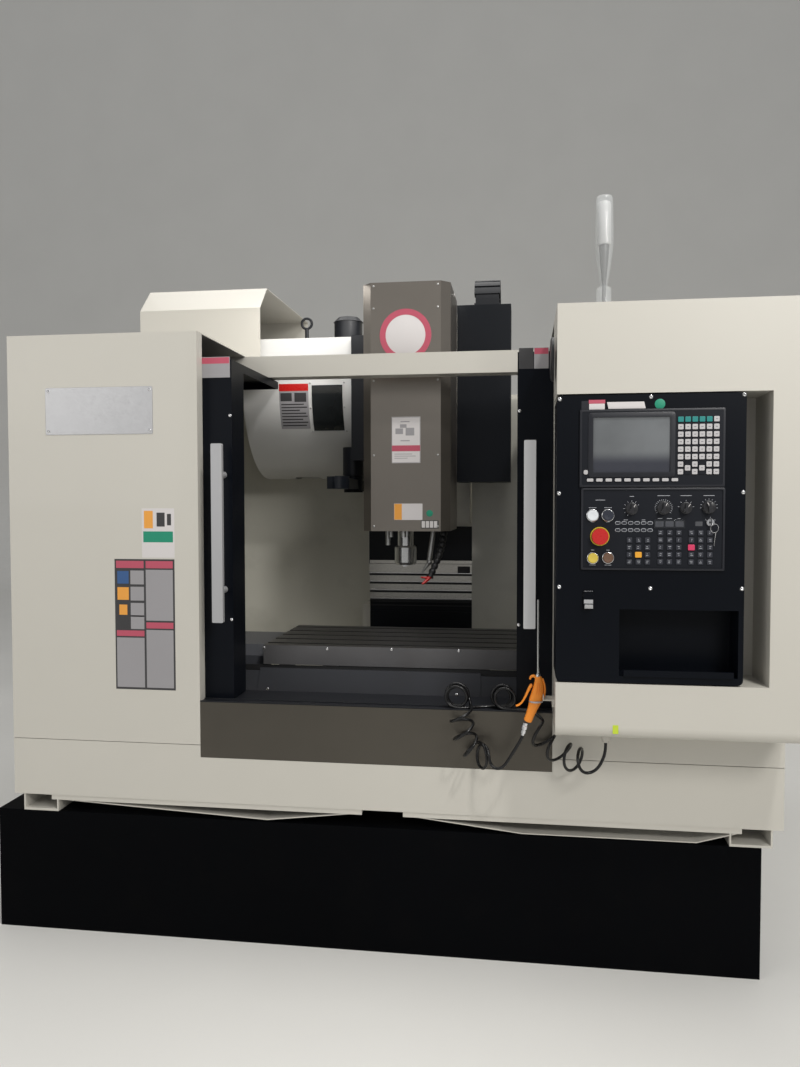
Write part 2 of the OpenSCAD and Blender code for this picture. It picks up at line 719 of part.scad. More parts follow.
// Table: plate with T-slots, carriages, screw with its end brackets and the motor
module table() {
  color("#6b6a68") machine() {
    difference() {
      block([table_x - table_w / 2, table_y - table_d / 2, table_top - table_t], [table_x + table_w / 2, table_y + table_d / 2, table_top]);
      for (i = [-2 : 2]) {
        block([table_x - table_w / 2 - 1, table_y + i * slot_pitch - slot_w / 2, table_top - 32],
          [table_x + table_w / 2 + 1, table_y + i * slot_pitch + slot_w / 2, table_top + 1]);
        block([table_x - table_w / 2 - 1, table_y + i * slot_pitch - slot_w * 0.85, table_top - 32],
          [table_x + table_w / 2 + 1, table_y + i * slot_pitch + slot_w * 0.85, table_top - 18]);
      }
    }
    for (x = [-200, 100], y = [table_y - 140, table_y + 140])
      translate([x, y, saddle_low + saddle_h + 12]) difference() {
        block([0, -45, 0], [100, 45, table_top - table_t - saddle_low - saddle_h - 12 + e]);
        block([-1, -rail_w / 2 - seat, -1], [101, rail_w / 2 + seat, rail_h - 12 + seat]);
      }
    for (x = [table_x - table_w / 2, table_x + table_w / 2 - 40])
      block([x, table_y - 45, screw_z - 30], [x + 40, table_y + 45, table_top - table_t + e]);
  }
  color("silver") machine()
    translate([table_x - table_w / 2 + 39, table_y, screw_z]) rotate([0, 90, 0]) cylinder(h = table_w - 78, r = 16);
  color("#1b1c20") machine()
    block([table_x - table_w / 2 - 140, table_y - 45, screw_z - 40], [table_x - table_w / 2 + e, table_y + 45, screw_z + 50]);
}

// Table end covers: a folded roof at each end of the table
module table_end_covers() {
  color("#47484b") machine()
    for (s = [0, 1]) translate([table_x, 0, 0]) mirror([s, 0, 0])
      difference() {
        across(table_w / 2 + 0.2, table_w / 2 + 200) polygon([[table_y - 205, 850], [table_y - 205, 892],
          [table_y - 150, 925], [table_y + 150, 925], [table_y + 205, 892], [table_y + 205, 850]]);
        across(table_w / 2 + 4, table_w / 2 + 201) polygon([[table_y - 202, 849], [table_y - 202, 890],
          [table_y - 149, 922], [table_y + 149, 922], [table_y + 202, 890], [table_y + 202, 849]]);
      }
}

// Head casting: carriage, arm, spindle housing and the motor on top
module head_casting() {
  color("#cfccc0") machine() {
    difference() {
      union() {
        block([-230, column_y - 200, casting_low], [230, column_y - 75, casting_top]);
        block([-95, spindle_y, casting_low + 10], [95, column_y - 199, casting_top - 110]);
        block([-125, spindle_y + 90, casting_low + 40], [125, column_y - 199, casting_top - 150]);
        post(0, spindle_y, casting_low - 10, casting_top - 110, 95);
      }
      post(0, spindle_y, casting_low - 60, casting_top, 34);
      post(0, spindle_y, casting_low - 61, casting_low + 20, 46);
    }
    difference() {
      post(0, spindle_y, 1346, casting_low - 10 + e, 66);
      post(0, spindle_y, 1345, casting_low, nose_d / 2 + 1);
    }
    block([cover_off - cover_w / 2 + sheet_t + 0.2, 950, 1500], [-124, 990, 1560]);
    block([124, 950, 1500], [cover_off + cover_w / 2 - sheet_t - 0.2, 990, 1560]);
    block([cover_off - cover_w / 2 + sheet_t + 0.2, 950, 1680], [-124, 990, 1740]);
    block([124, 950, 1680], [cover_off + cover_w / 2 - sheet_t - 0.2, 990, 1740]);
    for (x = [-z_rail_x, z_rail_x], z = [casting_low + 10, casting_top - 110])
      difference() {
        block([x - 45, column_y - 75 - e, z], [x + 45, column_y - 8, z + 100]);
        block([x - rail_w / 2 - seat, column_y - rail_h - seat, z - 1], [x + rail_w / 2 + seat, column_y, z + 101]);
      }
    difference() {
      block([-45, column_y - 76, casting_low + 180], [45, column_y + 95, casting_low + 280]);
      post(0, column_y + 50, casting_low + 179, casting_low + 281, 21);
    }
    block([229, column_y - 149.7, 1820], [345, column_y - 144, 1880]);
  }
  color("#17181c") machine() {
    block([-75, spindle_y - 75, casting_top - 110 + e], [75, spindle_y + 75, 2190]);
    post(0, spindle_y, 2189, 2230, 66);
  }
  color("#141519") machine() {
    block([-plate_w / 2 - 3, column_y - 104, plate_top0], [plate_w / 2 + 3, column_y - 101, casting_low - 0.1]);
    pair([plate_w / 2 + 0.8, column_y - 104, plate_top0], [plate_w / 2 + 3, column_y - 76, casting_low - 0.1]);
    pair([60, column_y - 101 - e, casting_low - 60], [80, column_y - 90, casting_low + e]);
  }
}

// Outline of the head cover, with its front corners cut off
module cover_outline(w, y0, c) {
  polygon([[-w / 2, 1000], [-w / 2, y0 + c], [c - w / 2, y0], [w / 2 - c, y0], [w / 2, y0 + c], [w / 2, 1000]]);
}

// Head cover: folded stainless shell, open at the back and below
module head_cover() {
  color("#a39c92") machine() translate([cover_off, 0, cover_low])
    difference() {
      linear_extrude(cover_h) cover_outline(cover_w, spindle_y - 105, cover_chamfer);
      translate([0, 0, -1]) linear_extrude(cover_h - sheet_t + 1) translate([0, sheet_t])
        cover_outline(cover_w - 2 * sheet_t, spindle_y - 105, cover_chamfer - 1);
    }
}

// Coolant nozzles under the head: ring, two short pipes and the bent hose
module coolant_nozzles() {
  color("#6e6f72") machine() {
    post(-66, spindle_y - 43, 1285, casting_low - 10.3, 9);
    post(-51, spindle_y - 60, 1318, casting_low - 10.3, 8);
    post(2, spindle_y - 79, 1318, casting_low - 10.3, 11);
    translate([92, spindle_y + 20, 1210]) rotate([0, 8, 0]) cylinder(h = 190, r = 10);
    block([95.3, spindle_y + 7, 1376], [128, spindle_y + 33, 1390]);
    translate([94, spindle_y + 20, 1214]) sphere(r = 12);
    translate([94, spindle_y + 20, 1214]) rotate([0, 215, 0]) cylinder(h = 52, r1 = 9, r2 = 4);
  }
}

// Spindle: nose with a taper bore and two drive keys, and its shaft
module spindle() {
  color("#b9bbbd") machine() {
    difference() {
      union() {
        post(0, spindle_y, nose_low + 10, nose_low + 70, nose_d / 2);
        translate([0, spindle_y, nose_low + 70 - e]) cylinder(h = 7, r1 = nose_d / 2, r2 = nose_d / 2 - 7);
        post(0, spindle_y, nose_low + 76, casting_low - 12, 32);
        translate([0, spindle_y, nose_low]) cylinder(h = 10 + e, r1 = 36, r2 = nose_d / 2);
        post(0, spindle_y, casting_low - 13, 1780, 32);
      }
      translate([0, spindle_y, nose_low - e]) cylinder(h = 68, r1 = 22.2, r2 = 12.3);
      post(0, spindle_y, nose_low, nose_low + 110, 8.5);
    }
    for (a = [0, 180]) translate([0, spindle_y, nose_low]) rotate(a)
      block([-8, 24, -6], [8, 34, 2]);
  }
}

// One plate of the upright way cover
module z_plate(i) {
  low = plate_top0 - 15 - i * plate_step;
  y = column_y - 98 + i * 5;
  color("#b7b3aa") machine() {
    block([-plate_w / 2, y, low], [plate_w / 2, y + 2, low + plate_h]);
    block([-plate_w / 2 + 4, y + 2 - e, low], [plate_w / 2 - 4, y + 4.6, low + 5]);
    pair([plate_w / 2 - 2, y, low], [plate_w / 2, y + 4.6, low + plate_h]);
  }
}

module z_cover_1() z_plate(1);
module z_cover_2() z_plate(2);
module z_cover_3() z_plate(3);
module z_cover_4() z_plate(4);

// Door leaf, drawn with its leading edge at zero: post, panel with window opening and roof
module door_leaf() {
  difference() {
    union() {
      block([0, door_y, door_low], [door_w, door_y + 35, door_top]);
      block([0, door_y, door_low], [60, door_y + door_post_d, door_top]);
      block([0, door_y, door_top - 28], [door_w, door_y + door_roof_d, door_top]);
    }
    block([3, door_y + 3, door_low + 3], [61, door_y + door_post_d - 3, door_top - 31]);
    block([3, door_y + 3, door_low + 3], [door_w - 3, door_y + 36, door_top - 31]);
    block([3, door_y + 3, door_top - 32], [door_w - 3, door_y + door_roof_d - 3, door_top - 3]);
    block([130, door_y - 1, 1020], [550, door_y + 4, 1780]);
  }
  block([8, door_y + 6, sill_z + seat], [90, door_y + 30, door_low + 1]);
}

// Window of a door leaf, with its rubber frame
module leaf_window() {
  block([110, door_y + 3.1, 1000], [570, door_y + 13, 1800]);
}

// Handle of a door leaf: long bar on two stand-offs
module leaf_handle() {
  rearward(-30, -14) round_bar(8, 44.5, handle_mid - handle_h / 2, handle_mid + handle_h / 2);
  for (z = [1168, 1548]) stud(29, z, -15, door_y - 0.1, 11);
}

// Long bar with rounded ends
module round_bar(x0, x1, z0, z1) {
  translate([x0, z0]) round_rect(x1 - x0, z1 - z0, 4);
}

module left_leaf_place() {
  machine() translate([left_edge, 0, 0]) mirror([1, 0, 0]) children();
}

module right_leaf_place() {
  machine() translate([right_edge, 0, 0]) children();
}

module left_door() color("#14171c") left_leaf_place() door_leaf();
module left_door_window() color("#3a3f3c") left_leaf_place() leaf_window();
module left_door_handle() color("#e3e3e0") left_leaf_place() leaf_handle();
module right_door() color("#14171c") right_leaf_place() door_leaf();
module right_door_window() color("#3a3f3c") right_leaf_place() leaf_window();
module right_door_handle() color("#e3e3e0") right_leaf_place() translate([13, 0, 0]) leaf_handle();

// Console: dark housing with screws, papers shelf and key hook
module console() {
  color("#12161d") machine() {
    difference() {
      rearward(face_y, face_y + console_d) translate([console_x, console_z]) round_rect(console_w, console_h, 14);
      rearward(face_y + 3, face_y + console_d - 3) translate([console_x + 3, console_z + 3])
        round_rect(console_w - 6, console_h - 6, 11);
      block([640, face_y - 1, 1513], [1000, face_y + 4, 1702]);
      block([643, face_y - 1, 1281], [1004, face_y + 4, 1483]);
      block([737, face_y - 1, 967], [1058, face_y + 4, 1156]);
    }
    difference() {
      block([734, face_y + 1, 964], [1061, face_y + 103, 1159]);
      block([737, face_y - 1, 967], [1058, face_y + 100, 1156]);
    }
    block([749, face_y - 6, 967], [1046, face_y + 1, 985]);
    for (z = [console_z - 3.7, console_z + console_h - e]) post(hinge_x, face_y + 19, z, z + 3.71, 10);
  }
  color("#b9bcc0") machine() {
    block([638, face_y - 8, 1160], [664, face_y + e, 1206]);
    block([638, face_y - 18, 1160], [664, face_y - 7, 1172]);
    for (p = [[569, 1747], [818, 1749], [1066, 1751], [568, 1482], [1066, 1484], [570, 1217], [821, 1216], [1066, 1218]])
      stud(p[0], p[1], face_y - 2.5, face_y + 2, 5);
  }
}

// Display unit with its screen frame, soft keys and keyboard
module display_unit() {
  color("#25272c") machine() {
    difference() {
      block([624, face_y - 6, 1499], [1016, face_y - 0.1, 1716]);
      block([658, face_y - 7, 1537], [873, face_y - 3, 1697]);
    }
    block([640.2, face_y - 0.2, 1514], [999.8, face_y + 60, 1701]);
    for (i = [0 : 5], j = [0 : 7]) block([890 + i * 19, face_y - 8, 1534 + j * 20.6], [904 + i * 19, face_y - 5.9, 1548 + j * 20.6]);
    for (i = [0 : 9]) block([646 + i * 25.5, face_y - 8, 1513], [660 + i * 25.5, face_y - 5.9, 1525]);
  }
}

// Machine panel: plate with key groups, indicator field, key switch and the holes of its knobs and buttons
module machine_panel() {
  color("#1d2026") machine() {
    difference() {
      block([629, face_y - 3, 1267], [1018, face_y - 0.1, 1497]);
      for (k = knobs) stud(k[0], k[1], face_y - 4, face_y + 1, 4.05);
      for (b = buttons) stud(b[0], b[1], face_y - 4, face_y + 1, b[2] - 1.95);
      stud(stop_x, stop_z, face_y - 4, face_y + 1, 11.05);
    }
    for (b = buttons) difference() {
      stud(b[0], b[1], face_y - 7, face_y - 3 + e, b[2] + 3);
      stud(b[0], b[1], face_y - 8, face_y - 2, b[2] + 0.4);
    }
    for (g = key_groups) for (i = [0 : 2], j = [0 : g[2] - 1])
      block([g[0] + i * 24.6 - 7, face_y - 5, g[1] + j * 20.3 - 7], [g[0] + i * 24.6 + 7, face_y - 3 + e, g[1] + j * 20.3 + 7]);
    for (i = [0 : 5], z = [1379, 1399]) stud(730 + i * 17.6, z, face_y - 4.5, face_y - 3 + e, 3.5);
    block([828, face_y - 4.5, 1384], [912, face_y - 3 + e, 1409]);
    stud(979, 1401, face_y - 8, face_y - 3 + e, 9);
    block([978, face_y - 20, 1392], [980, face_y - 7, 1410]);
  }
  color("#d8b51e") machine() difference() {
    stud(stop_x, stop_z, face_y - 7, face_y - 3 + e, 26);
    stud(stop_x, stop_z, face_y - 8, face_y - 2, 11.05);
  }
}

// Turning knob with a raised grip and its shaft through the panel
module knob(k) {
  machine() {
    stud(k[0], k[1], face_y - knob_base, face_y - 3.3, k[2]);
    block([k[0] - 3.2, face_y - knob_h + 1, k[1] - k[2] + 1], [k[0] + 3.2, face_y - knob_base + e, k[1] + k[2] - 1]);
    stud(k[0], k[1], face_y - 3.4, face_y + 12, 4);
    stud(k[0], k[1], face_y + 1, face_y + 5, 7);
  }
}

module mode_knob() color("#191a1e") knob(knobs[0]);
module spindle_knob() color("#191a1e") knob(knobs[1]);
module feed_knob() color("#191a1e") knob(knobs[2]);
module step_knob() color("#191a1e") knob(knobs[3]);

// Push button in its collar
module button(b) {
  machine() {
    stud(b[0], b[1], face_y - 12, face_y - 3 - button_travel, b[2]);
    stud(b[0], b[1], face_y - 3 - button_travel - e, face_y + 14, b[2] - 2);
    stud(b[0], b[1], face_y + 0.2, face_y + 4, b[2] + 2);
  }
}

module power_on() color("#e9ece8") button(buttons[0]);
module power_off() color("#20242b") button(buttons[1]);
module cycle_start() color("#cfae2a") button(buttons[2]);
module feed_hold() color("#4a3528") button(buttons[3]);

// Emergency stop: mushroom head on its stem
module emergency_stop() {
  color("#b3191c") machine() {
    stud(stop_x, stop_z, face_y - knob_h + 1, face_y - knob_h + 10, stop_r);
    stud(stop_x, stop_z, face_y - knob_h + 9.9, face_y + 14, 11);
    stud(stop_x, stop_z, face_y + 0.2, face_y + 4, 15);
  }
}

// Blow gun: body, hook, long nozzle tube, slanted grip and metal coupling
module air_gun() {
  color("#e8821e") machine() {
    post(gun_x, gun_y, 862, 936, 13.9);
    translate([gun_x, gun_y, 935.9]) cylinder(h = 12, r1 = 13.5, r2 = 6);
    block([gun_x + 8, gun_y - 9, 884.2], [gun_x + 22, gun_y + 9, 889]);
    block([gun_x + 17.6, gun_y - 9, 874], [gun_x + 22, gun_y + 9, 889]);
    translate([gun_x - 4, gun_y, 872]) rotate([0, 196.8, 0]) cylinder(h = 100, r1 = 13, r2 = 11);
    difference() {
      block([gun_x - 26, gun_y - 7, 890], [gun_x, gun_y + 7, 928]);
      block([gun_x - 27, gun_y - 4.2, 889], [gun_x - 13, gun_y + 4.2, 929]);
      stud(pivot_x, pivot_z, gun_y - 8, gun_y + 8, 2.04);
    }
  }
  color("#c4c6c8") machine() {
    translate([gun_x - 32.5, gun_y, 777]) rotate([0, 196.8, 0]) cylinder(h = 34, r = 9);
    post(gun_x, gun_y, 947, 1166, 4);
  }
}

// Lever of the blow gun with its pin
module gun_trigger() {
  color("#e8821e") machine() {
    stud(pivot_x, pivot_z, gun_y - 6.9, gun_y + 6.9, 2);
    translate([pivot_x, gun_y, pivot_z]) rotate([0, 207, 0]) {
      translate([-3, -4, -3]) cube([6, 8, 76]);
      translate([0, 0, 70]) rotate([0, 18, 0]) translate([-2.6, -3.5, -1]) cube([4.6, 7, 22]);
    }
  }
}

// Point on a smooth curve through four route points
function on_curve(a, b, c, d, t) =
  0.5 * ((2 * b) + (c - a) * t + (2 * a - 5 * b + 4 * c - d) * t * t + (3 * b - a - 3 * c + d) * t * t * t);

// Points of a smooth route through the given points
function smooth(p, n) = let (m = len(p)) concat(
  [for (i = [0 : m - 2], k = [0 : n - 1]) on_curve(p[max(i - 1, 0)], p[i], p[i + 1], p[min(i + 2, m - 1)], k / n)], [p[m - 1]]);

function place(p) = [p[0], p[1], p[2]];
function unit(v) = v / norm(v);

// Tube along a route whose fourth number is the radius
module tube(route, n, sides) {
  p = smooth(route, n);
  m = len(p);
  rings = [for (i = [0 : m - 1])
    let (t = unit(place(p[min(i + 1, m - 1)]) - place(p[max(i - 1, 0)])), u = unit(cross([0, 1, 0], t)), v = cross(t, u))
    for (k = [0 : sides - 1]) place(p[i]) + p[i][3] * (cos(k * 360 / sides) * u + sin(k * 360 / sides) * v)];
  polyhedron(rings, concat(
    [[for (k = [0 : sides - 1]) k]],
    [for (i = [0 : m - 2], k = [0 : sides - 1]) let (q = (k + 1) % sides)
      [i * sides + k, (i + 1) * sides + k, (i + 1) * sides + q, i * sides + q]],
    [[for (k = [sides - 1 : -1 : 0]) (m - 1) * sides + k]]));
}

// Free runs of the air hose: from the gun to the first coil, between the coils, and to the cabinet
module hose_runs() {
  color("#101113") machine() {
    tube(hose_left, 2, 8);
    tube(hose_link, 2, 8);
    tube(hose_right, 2, 8);
  }
}

// Coils of the air hose that stand on the sill
module hose_coils() {
  color("#101113") machine()
    for (c = coils) difference() {
      stud(c[0], c[1], 3, 46, c[2]);
      stud(c[0], c[1], 2, 47, c[2] - 9);
    }
}

bed();
levelling_feet();
column();
coolant_tank();
chip_tray();
front_skirt();
front_panels();
apron();
left_enclosure();
right_enclosure();
inner_guard();
crossbeam();
magazine_hood();
electrical_cabinet();
electrical_door();
isolator_handle();
operator_cabinet();
signal_lamp();
column_cover();
chain_box();
axis_motors();
magazine_cover();
changer_drive();
carousel();
change_arm();
cable_chain();
saddle();
saddle_cover();
table();
table_end_covers();
head_casting();
head_cover();
coolant_nozzles();
spindle();
z_cover_1();
z_cover_2();
z_cover_3();
z_cover_4();
left_door();
left_door_window();
left_door_handle();
right_door();
right_door_window();
right_door_handle();
console();
display_unit();
machine_panel();
mode_knob();
spindle_knob();
feed_knob();
step_knob();
emergency_stop();
power_on();
power_off();
cycle_start();
feed_hold();
air_gun();
gun_trigger();
hose_runs();
hose_coils();
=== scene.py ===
# %% [markdown]
# A vertical machining centre in a pale room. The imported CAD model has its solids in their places; this lesson
# loads them, gives each one its finish and adds the small things that a solid leaves out.

# %% Load the frame
import math

import bpy
import numpy as np
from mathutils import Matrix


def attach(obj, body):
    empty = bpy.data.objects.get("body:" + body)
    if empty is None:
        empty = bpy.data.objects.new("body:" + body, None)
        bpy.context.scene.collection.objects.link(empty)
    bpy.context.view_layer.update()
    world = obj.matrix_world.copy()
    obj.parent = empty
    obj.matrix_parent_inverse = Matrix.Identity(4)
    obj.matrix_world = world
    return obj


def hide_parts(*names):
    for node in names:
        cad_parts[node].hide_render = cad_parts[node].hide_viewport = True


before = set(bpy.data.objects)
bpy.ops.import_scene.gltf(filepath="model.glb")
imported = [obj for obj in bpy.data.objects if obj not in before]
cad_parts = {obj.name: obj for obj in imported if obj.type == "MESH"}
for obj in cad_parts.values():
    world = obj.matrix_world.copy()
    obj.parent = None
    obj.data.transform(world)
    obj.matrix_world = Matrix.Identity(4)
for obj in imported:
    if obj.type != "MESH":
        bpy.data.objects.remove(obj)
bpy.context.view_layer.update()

# %% [markdown]
# Places are told in millimetres from the middle of the front panels: x right, y to the rear, z up from the floor.
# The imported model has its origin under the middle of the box, so one helper moves each point there, in metres.

# %% Places on the machine
SHIFT = np.array([31.0, -976.5, 0.0])


def at(points):
    """Millimetres from the middle of the front panels become metres in the frame: (point + shift) / 1000."""
    return (np.asarray(points, float) + SHIFT) / 1000


print("front middle of the floor", at([0, 0, 0]))

# %% [markdown]
# New pieces are grids of points. Each cell of the grid is one face, and the grid closes round on itself where the
# shape does, as a tube does. One array holds all the faces, and one function serves knob, hose and panel.

# %% Grids into meshes
COLLECTION = bpy.context.scene.collection


def grid_faces(rows, columns, wrap_rows, wrap_columns):
    """Four corners of each cell: (i, j), (i, j+1), (i+1, j+1), (i+1, j), counted modulo the size where it wraps."""
    i, j = np.meshgrid(np.arange(rows - (not wrap_rows)), np.arange(columns - (not wrap_columns)), indexing="ij")
    down, across = (i + 1) % rows, (j + 1) % columns
    corners = [i * columns + j, i * columns + across, down * columns + across, down * columns + j]
    return np.stack(corners, -1).reshape(-1, 4)


def piece(name, parts, finish, body="frame"):
    """One object from several (points, faces) parts, its points joined end to end and its faces counted on."""
    mesh = bpy.data.meshes.new(name)
    starts = np.cumsum([0] + [len(p) for p, _ in parts[:-1]])
    faces = [tuple(int(v) + int(s) for v in face) for (_, f), s in zip(parts, starts) for face in f]
    mesh.from_pydata(np.concatenate([p for p, _ in parts]), [], faces)
    mesh.validate()
    mesh.materials.append(finish)
    mesh.polygons.foreach_set("use_smooth", np.full(len(mesh.polygons), True))
    mesh.set_sharp_from_angle(angle=math.radians(38))
    made = bpy.data.objects.new(name, mesh)
    COLLECTION.objects.link(made)
    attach(made, body)
    return made


print("the grid of a 4 by 3 tube has", len(grid_faces(4, 3, False, True)), "faces")

# %% [markdown]
# Three shapes cover most hardware: a slab is a plate with round corners and soft edges, a turned piece is a profile
# spun round an axis, and a tube is a circle carried along a path.

# %% Slabs, turned pieces and tubes
# The rows of a facing are the directions of width, height and lift.
FRONT, LEFT_SIDE, RIGHT_SIDE, TOP, REAR = np.array([
    [[1, 0, 0], [0, 0, 1], [0, -1, 0]], [[0, -1, 0], [0, 0, 1], [-1, 0, 0]], [[0, 1, 0], [0, 0, 1], [1, 0, 0]],
    [[1, 0, 0], [0, 1, 0], [0, 0, 1]], [[-1, 0, 0], [0, 0, 1], [0, 1, 0]]], float)



def around(count):
    """Even angles of a full turn: 2 pi k / count."""
    return np.linspace(0, 2 * math.pi, count, endpoint=False)


def rounded_outline(width, height, corner, steps=4):
    """Outline of a rounded rectangle: each quarter is its corner's centre plus corner * (cos, sin) of the angle."""
    turn = np.linspace(0, math.pi / 2, steps)
    signs = np.array([[1, 1], [-1, 1], [-1, -1], [1, -1]])
    angle = turn[None] + (np.arange(4) * math.pi / 2)[:, None]
    centre = signs[:, None] * (np.array([width, height]) / 2 - corner)
    return (centre + corner * np.stack([np.cos(angle), np.sin(angle)], -1)).reshape(-1, 2)


def slab(centre, width, height, depth, corner=2.0, edge=0.8, facing=FRONT, hole=None):
    """Rings of one outline: back, side, a rounded edge and a closed face, or a hole's rings turned inwards."""
    inset = edge * (1 - np.cos(np.linspace(0, math.pi / 2, 4)))
    lift = depth - edge + edge * np.sin(np.linspace(0, math.pi / 2, 4))
    rings = [(0.0, 0.0)] + list(zip(inset, lift))
    size = [(width - 2 * s, height - 2 * s, max(corner - s, 0.05)) for s, _ in rings]
    heights = [h for _, h in rings]
    if hole is None:
        inner = 2 * edge + 1.0
        least = max(corner - edge - 0.5, 0.01)
        size += [(max(width - inner, 0.04), max(height - inner, 0.04), least), (0.02, 0.02, 0.005)]
        heights += [depth, depth]
    else:
        size += [hole, hole]
        heights += [depth, 0.0]
    flat = np.stack([rounded_outline(*s) for s in size])
    local = np.concatenate([flat, np.broadcast_to(np.array(heights)[:, None, None], flat.shape[:2] + (1,))], -1)
    points = np.asarray(centre, float) + local.reshape(-1, 3) @ facing
    return at(points), grid_faces(len(size), flat.shape[1], hole is not None, True)


def turned(centre, profile, facing=FRONT, sides=24, flutes=0, depth=0.0, ring=False):
    """Rows (height, radius) spun round the facing direction; flutes ripple it by depth * cos(flutes * angle)."""
    height, radius = np.array(profile, float).T
    angle = around(sides)
    ripple = 1 + depth * np.cos(flutes * angle)[None] * (radius > 0.9 * radius.max())[:, None]
    r = radius[:, None] * ripple
    local = np.stack([r * np.cos(angle), r * np.sin(angle), np.broadcast_to(height[:, None], r.shape)], -1)
    return at(np.asarray(centre, float) + local.reshape(-1, 3) @ facing), grid_faces(len(height), sides, ring, True)


def row(places, y, profile, sides=16, facing=FRONT):
    """One turned profile at each (x, z) of a list, all at the same depth y."""
    return [turned([x, y, z], profile, facing, sides) for x, z in places]


def tube(path, radius, sides=10, closed=False):
    """Circle carried along a path: each ring lies in the plane across the path's direction there."""
    path = np.asarray(path, float)
    ahead = np.roll(path, -1, 0) - np.roll(path, 1, 0)
    if not closed:
        ahead[0], ahead[-1] = path[1] - path[0], path[-1] - path[-2]
    ahead /= np.linalg.norm(ahead, axis=1, keepdims=True)
    side = np.cross(ahead, np.array([0.31, 0.9, 0.29]))
    side /= np.linalg.norm(side, axis=1, keepdims=True)
    up = np.cross(ahead, side)
    angle = around(sides)
    r = np.broadcast_to(np.asarray(radius, float), (len(path),))[:, None, None]
    c, s = np.cos(angle)[None, :, None], np.sin(angle)[None, :, None]
    rings = path[:, None] + r * (c * side[:, None] - s * up[:, None])
    points, faces = rings.reshape(-1, 3), grid_faces(len(path), sides, closed, True)
    if not closed:
        points = np.concatenate([points, path[:1], path[-1:]])
        k = np.arange(sides)
        last = (len(path) - 1) * sides
        first_cap = np.stack([np.full(sides, len(points) - 2), (k + 1) % sides, k], -1)
        last_cap = np.stack([np.full(sides, len(points) - 1), last + k, last + (k + 1) % sides], -1)
        faces = faces.tolist() + first_cap.tolist() + last_cap.tolist()
    return at(points), faces


def smooth_path(points, count):
    """Catmull-Rom curve through the points, read at even steps of its length."""
    p = np.asarray(points, float)
    p = np.concatenate([2 * p[:1] - p[1:2], p, 2 * p[-1:] - p[-2:-1]])
    t = np.linspace(0, 1, 24, endpoint=False)[None, :, None]
    a, b, c, d = p[:-3, None], p[1:-2, None], p[2:-1, None], p[3:, None]
    dense = 0.5 * (2 * b + (c - a) * t + (2 * a - 5 * b + 4 * c - d) * t**2 + (3 * b - a - 3 * c + d) * t**3)
    dense = np.concatenate([dense.reshape(-1, p.shape[1]), p[-2:-1]])
    run = np.concatenate([[0], np.cumsum(np.linalg.norm(np.diff(dense[:, :3], axis=0), axis=1))])
    even = np.linspace(0, run[-1], count)
    return np.stack([np.interp(even, run, column) for column in dense.T], -1)


print("a slab has", len(slab([0, 0, 0], 10, 10, 2)[0]), "points")

# %% [markdown]
# No surface here is one flat colour. A finish is built from nodes: a broad noise shifts the colour a little, a fine
# noise breaks up gloss and height, and a stretched one stands for brushing. All of it reads Object coordinates, so
# it keeps its true size on every piece.

# %% One helper for finishes
def node(tree, kind, **values):
    """A shader node of one kind with inputs set by name, an underscore standing for a space."""
    made = tree.nodes.new("ShaderNode" + kind)
    for key, value in values.items():
        made.inputs[key.replace("_", " ")].default_value = value
    return made


def blend(tree, share, colour, other):
    """Colour and a plain other colour mixed as (1 - share) * colour + share * other."""
    mix = node(tree, "Mix")
    mix.data_type = "RGBA"
    mix.inputs[7].default_value = (*other, 1)
    tree.links.new(share, mix.inputs["Factor"])
    tree.links.new(colour, mix.inputs[6])
    return mix.outputs[2]


def finish(name, colour, rough, shift=0.05, grain=200, bump=0.006, metal=0.0, broad=1.3, brush=None,
           coat=0.0, dirt=0.0, glow=None, spec=0.5):
    """Tone = colour * (1 - shift .. 1 + shift) by broad noise; gloss = rough -+ 0.12 and bump by the fine grain."""
    made = bpy.data.materials.new(name)
    made.use_nodes = True
    tree, base = made.node_tree, np.array(colour)
    shader, link = tree.nodes["Principled BSDF"], tree.links.new
    place = node(tree, "TexCoord").outputs["Object"]
    clouds = node(tree, "TexNoise", Scale=broad, Detail=4)
    link(place, clouds.inputs["Vector"])
    tone = node(tree, "ValToRGB")
    for stop, position, share in zip(tone.color_ramp.elements, (0.3, 0.7), (1 - shift, 1 + shift)):
        stop.position, stop.color = position, (*np.clip(base * share, 0, 1), 1)
    link(clouds.outputs["Fac"], tone.inputs["Fac"])
    painted, stretched = tone.outputs["Color"], place
    if brush:
        stretch = node(tree, "Mapping", Scale=brush)
        link(place, stretch.inputs["Vector"])
        stretched = stretch.outputs["Vector"]
    fine = node(tree, "TexNoise", Scale=grain, Detail=3)
    link(stretched, fine.inputs["Vector"])
    gloss = node(tree, "MapRange", To_Min=max(rough - 0.12, 0.03), To_Max=min(rough + 0.12, 1.0))
    link(fine.outputs["Fac"], gloss.inputs["Value"])
    link(gloss.outputs["Result"], shader.inputs["Roughness"])
    if dirt:
        stain = node(tree, "TexNoise", Scale=7.0, Detail=8)
        link(place, stain.inputs["Vector"])
        amount = node(tree, "MapRange", From_Min=0.52, From_Max=0.75, To_Max=dirt)
        link(stain.outputs["Fac"], amount.inputs["Value"])
        painted = blend(tree, amount.outputs["Result"], painted, base * 0.45 + np.array([0.02, 0.016, 0.01]))
    link(painted, shader.inputs["Base Color"])
    height = node(tree, "Bump", Strength=bump * 10, Distance=0.0006)
    link(fine.outputs["Fac"], height.inputs["Height"])
    link(height.outputs["Normal"], shader.inputs["Normal"])
    for key, value in {"Metallic": metal, "Coat Weight": coat, "Specular IOR Level": spec}.items():
        shader.inputs[key].default_value = value
    if glow:
        shader.inputs["Emission Color"].default_value = (*glow[:3], 1)
        shader.inputs["Emission Strength"].default_value = glow[3]
    return made


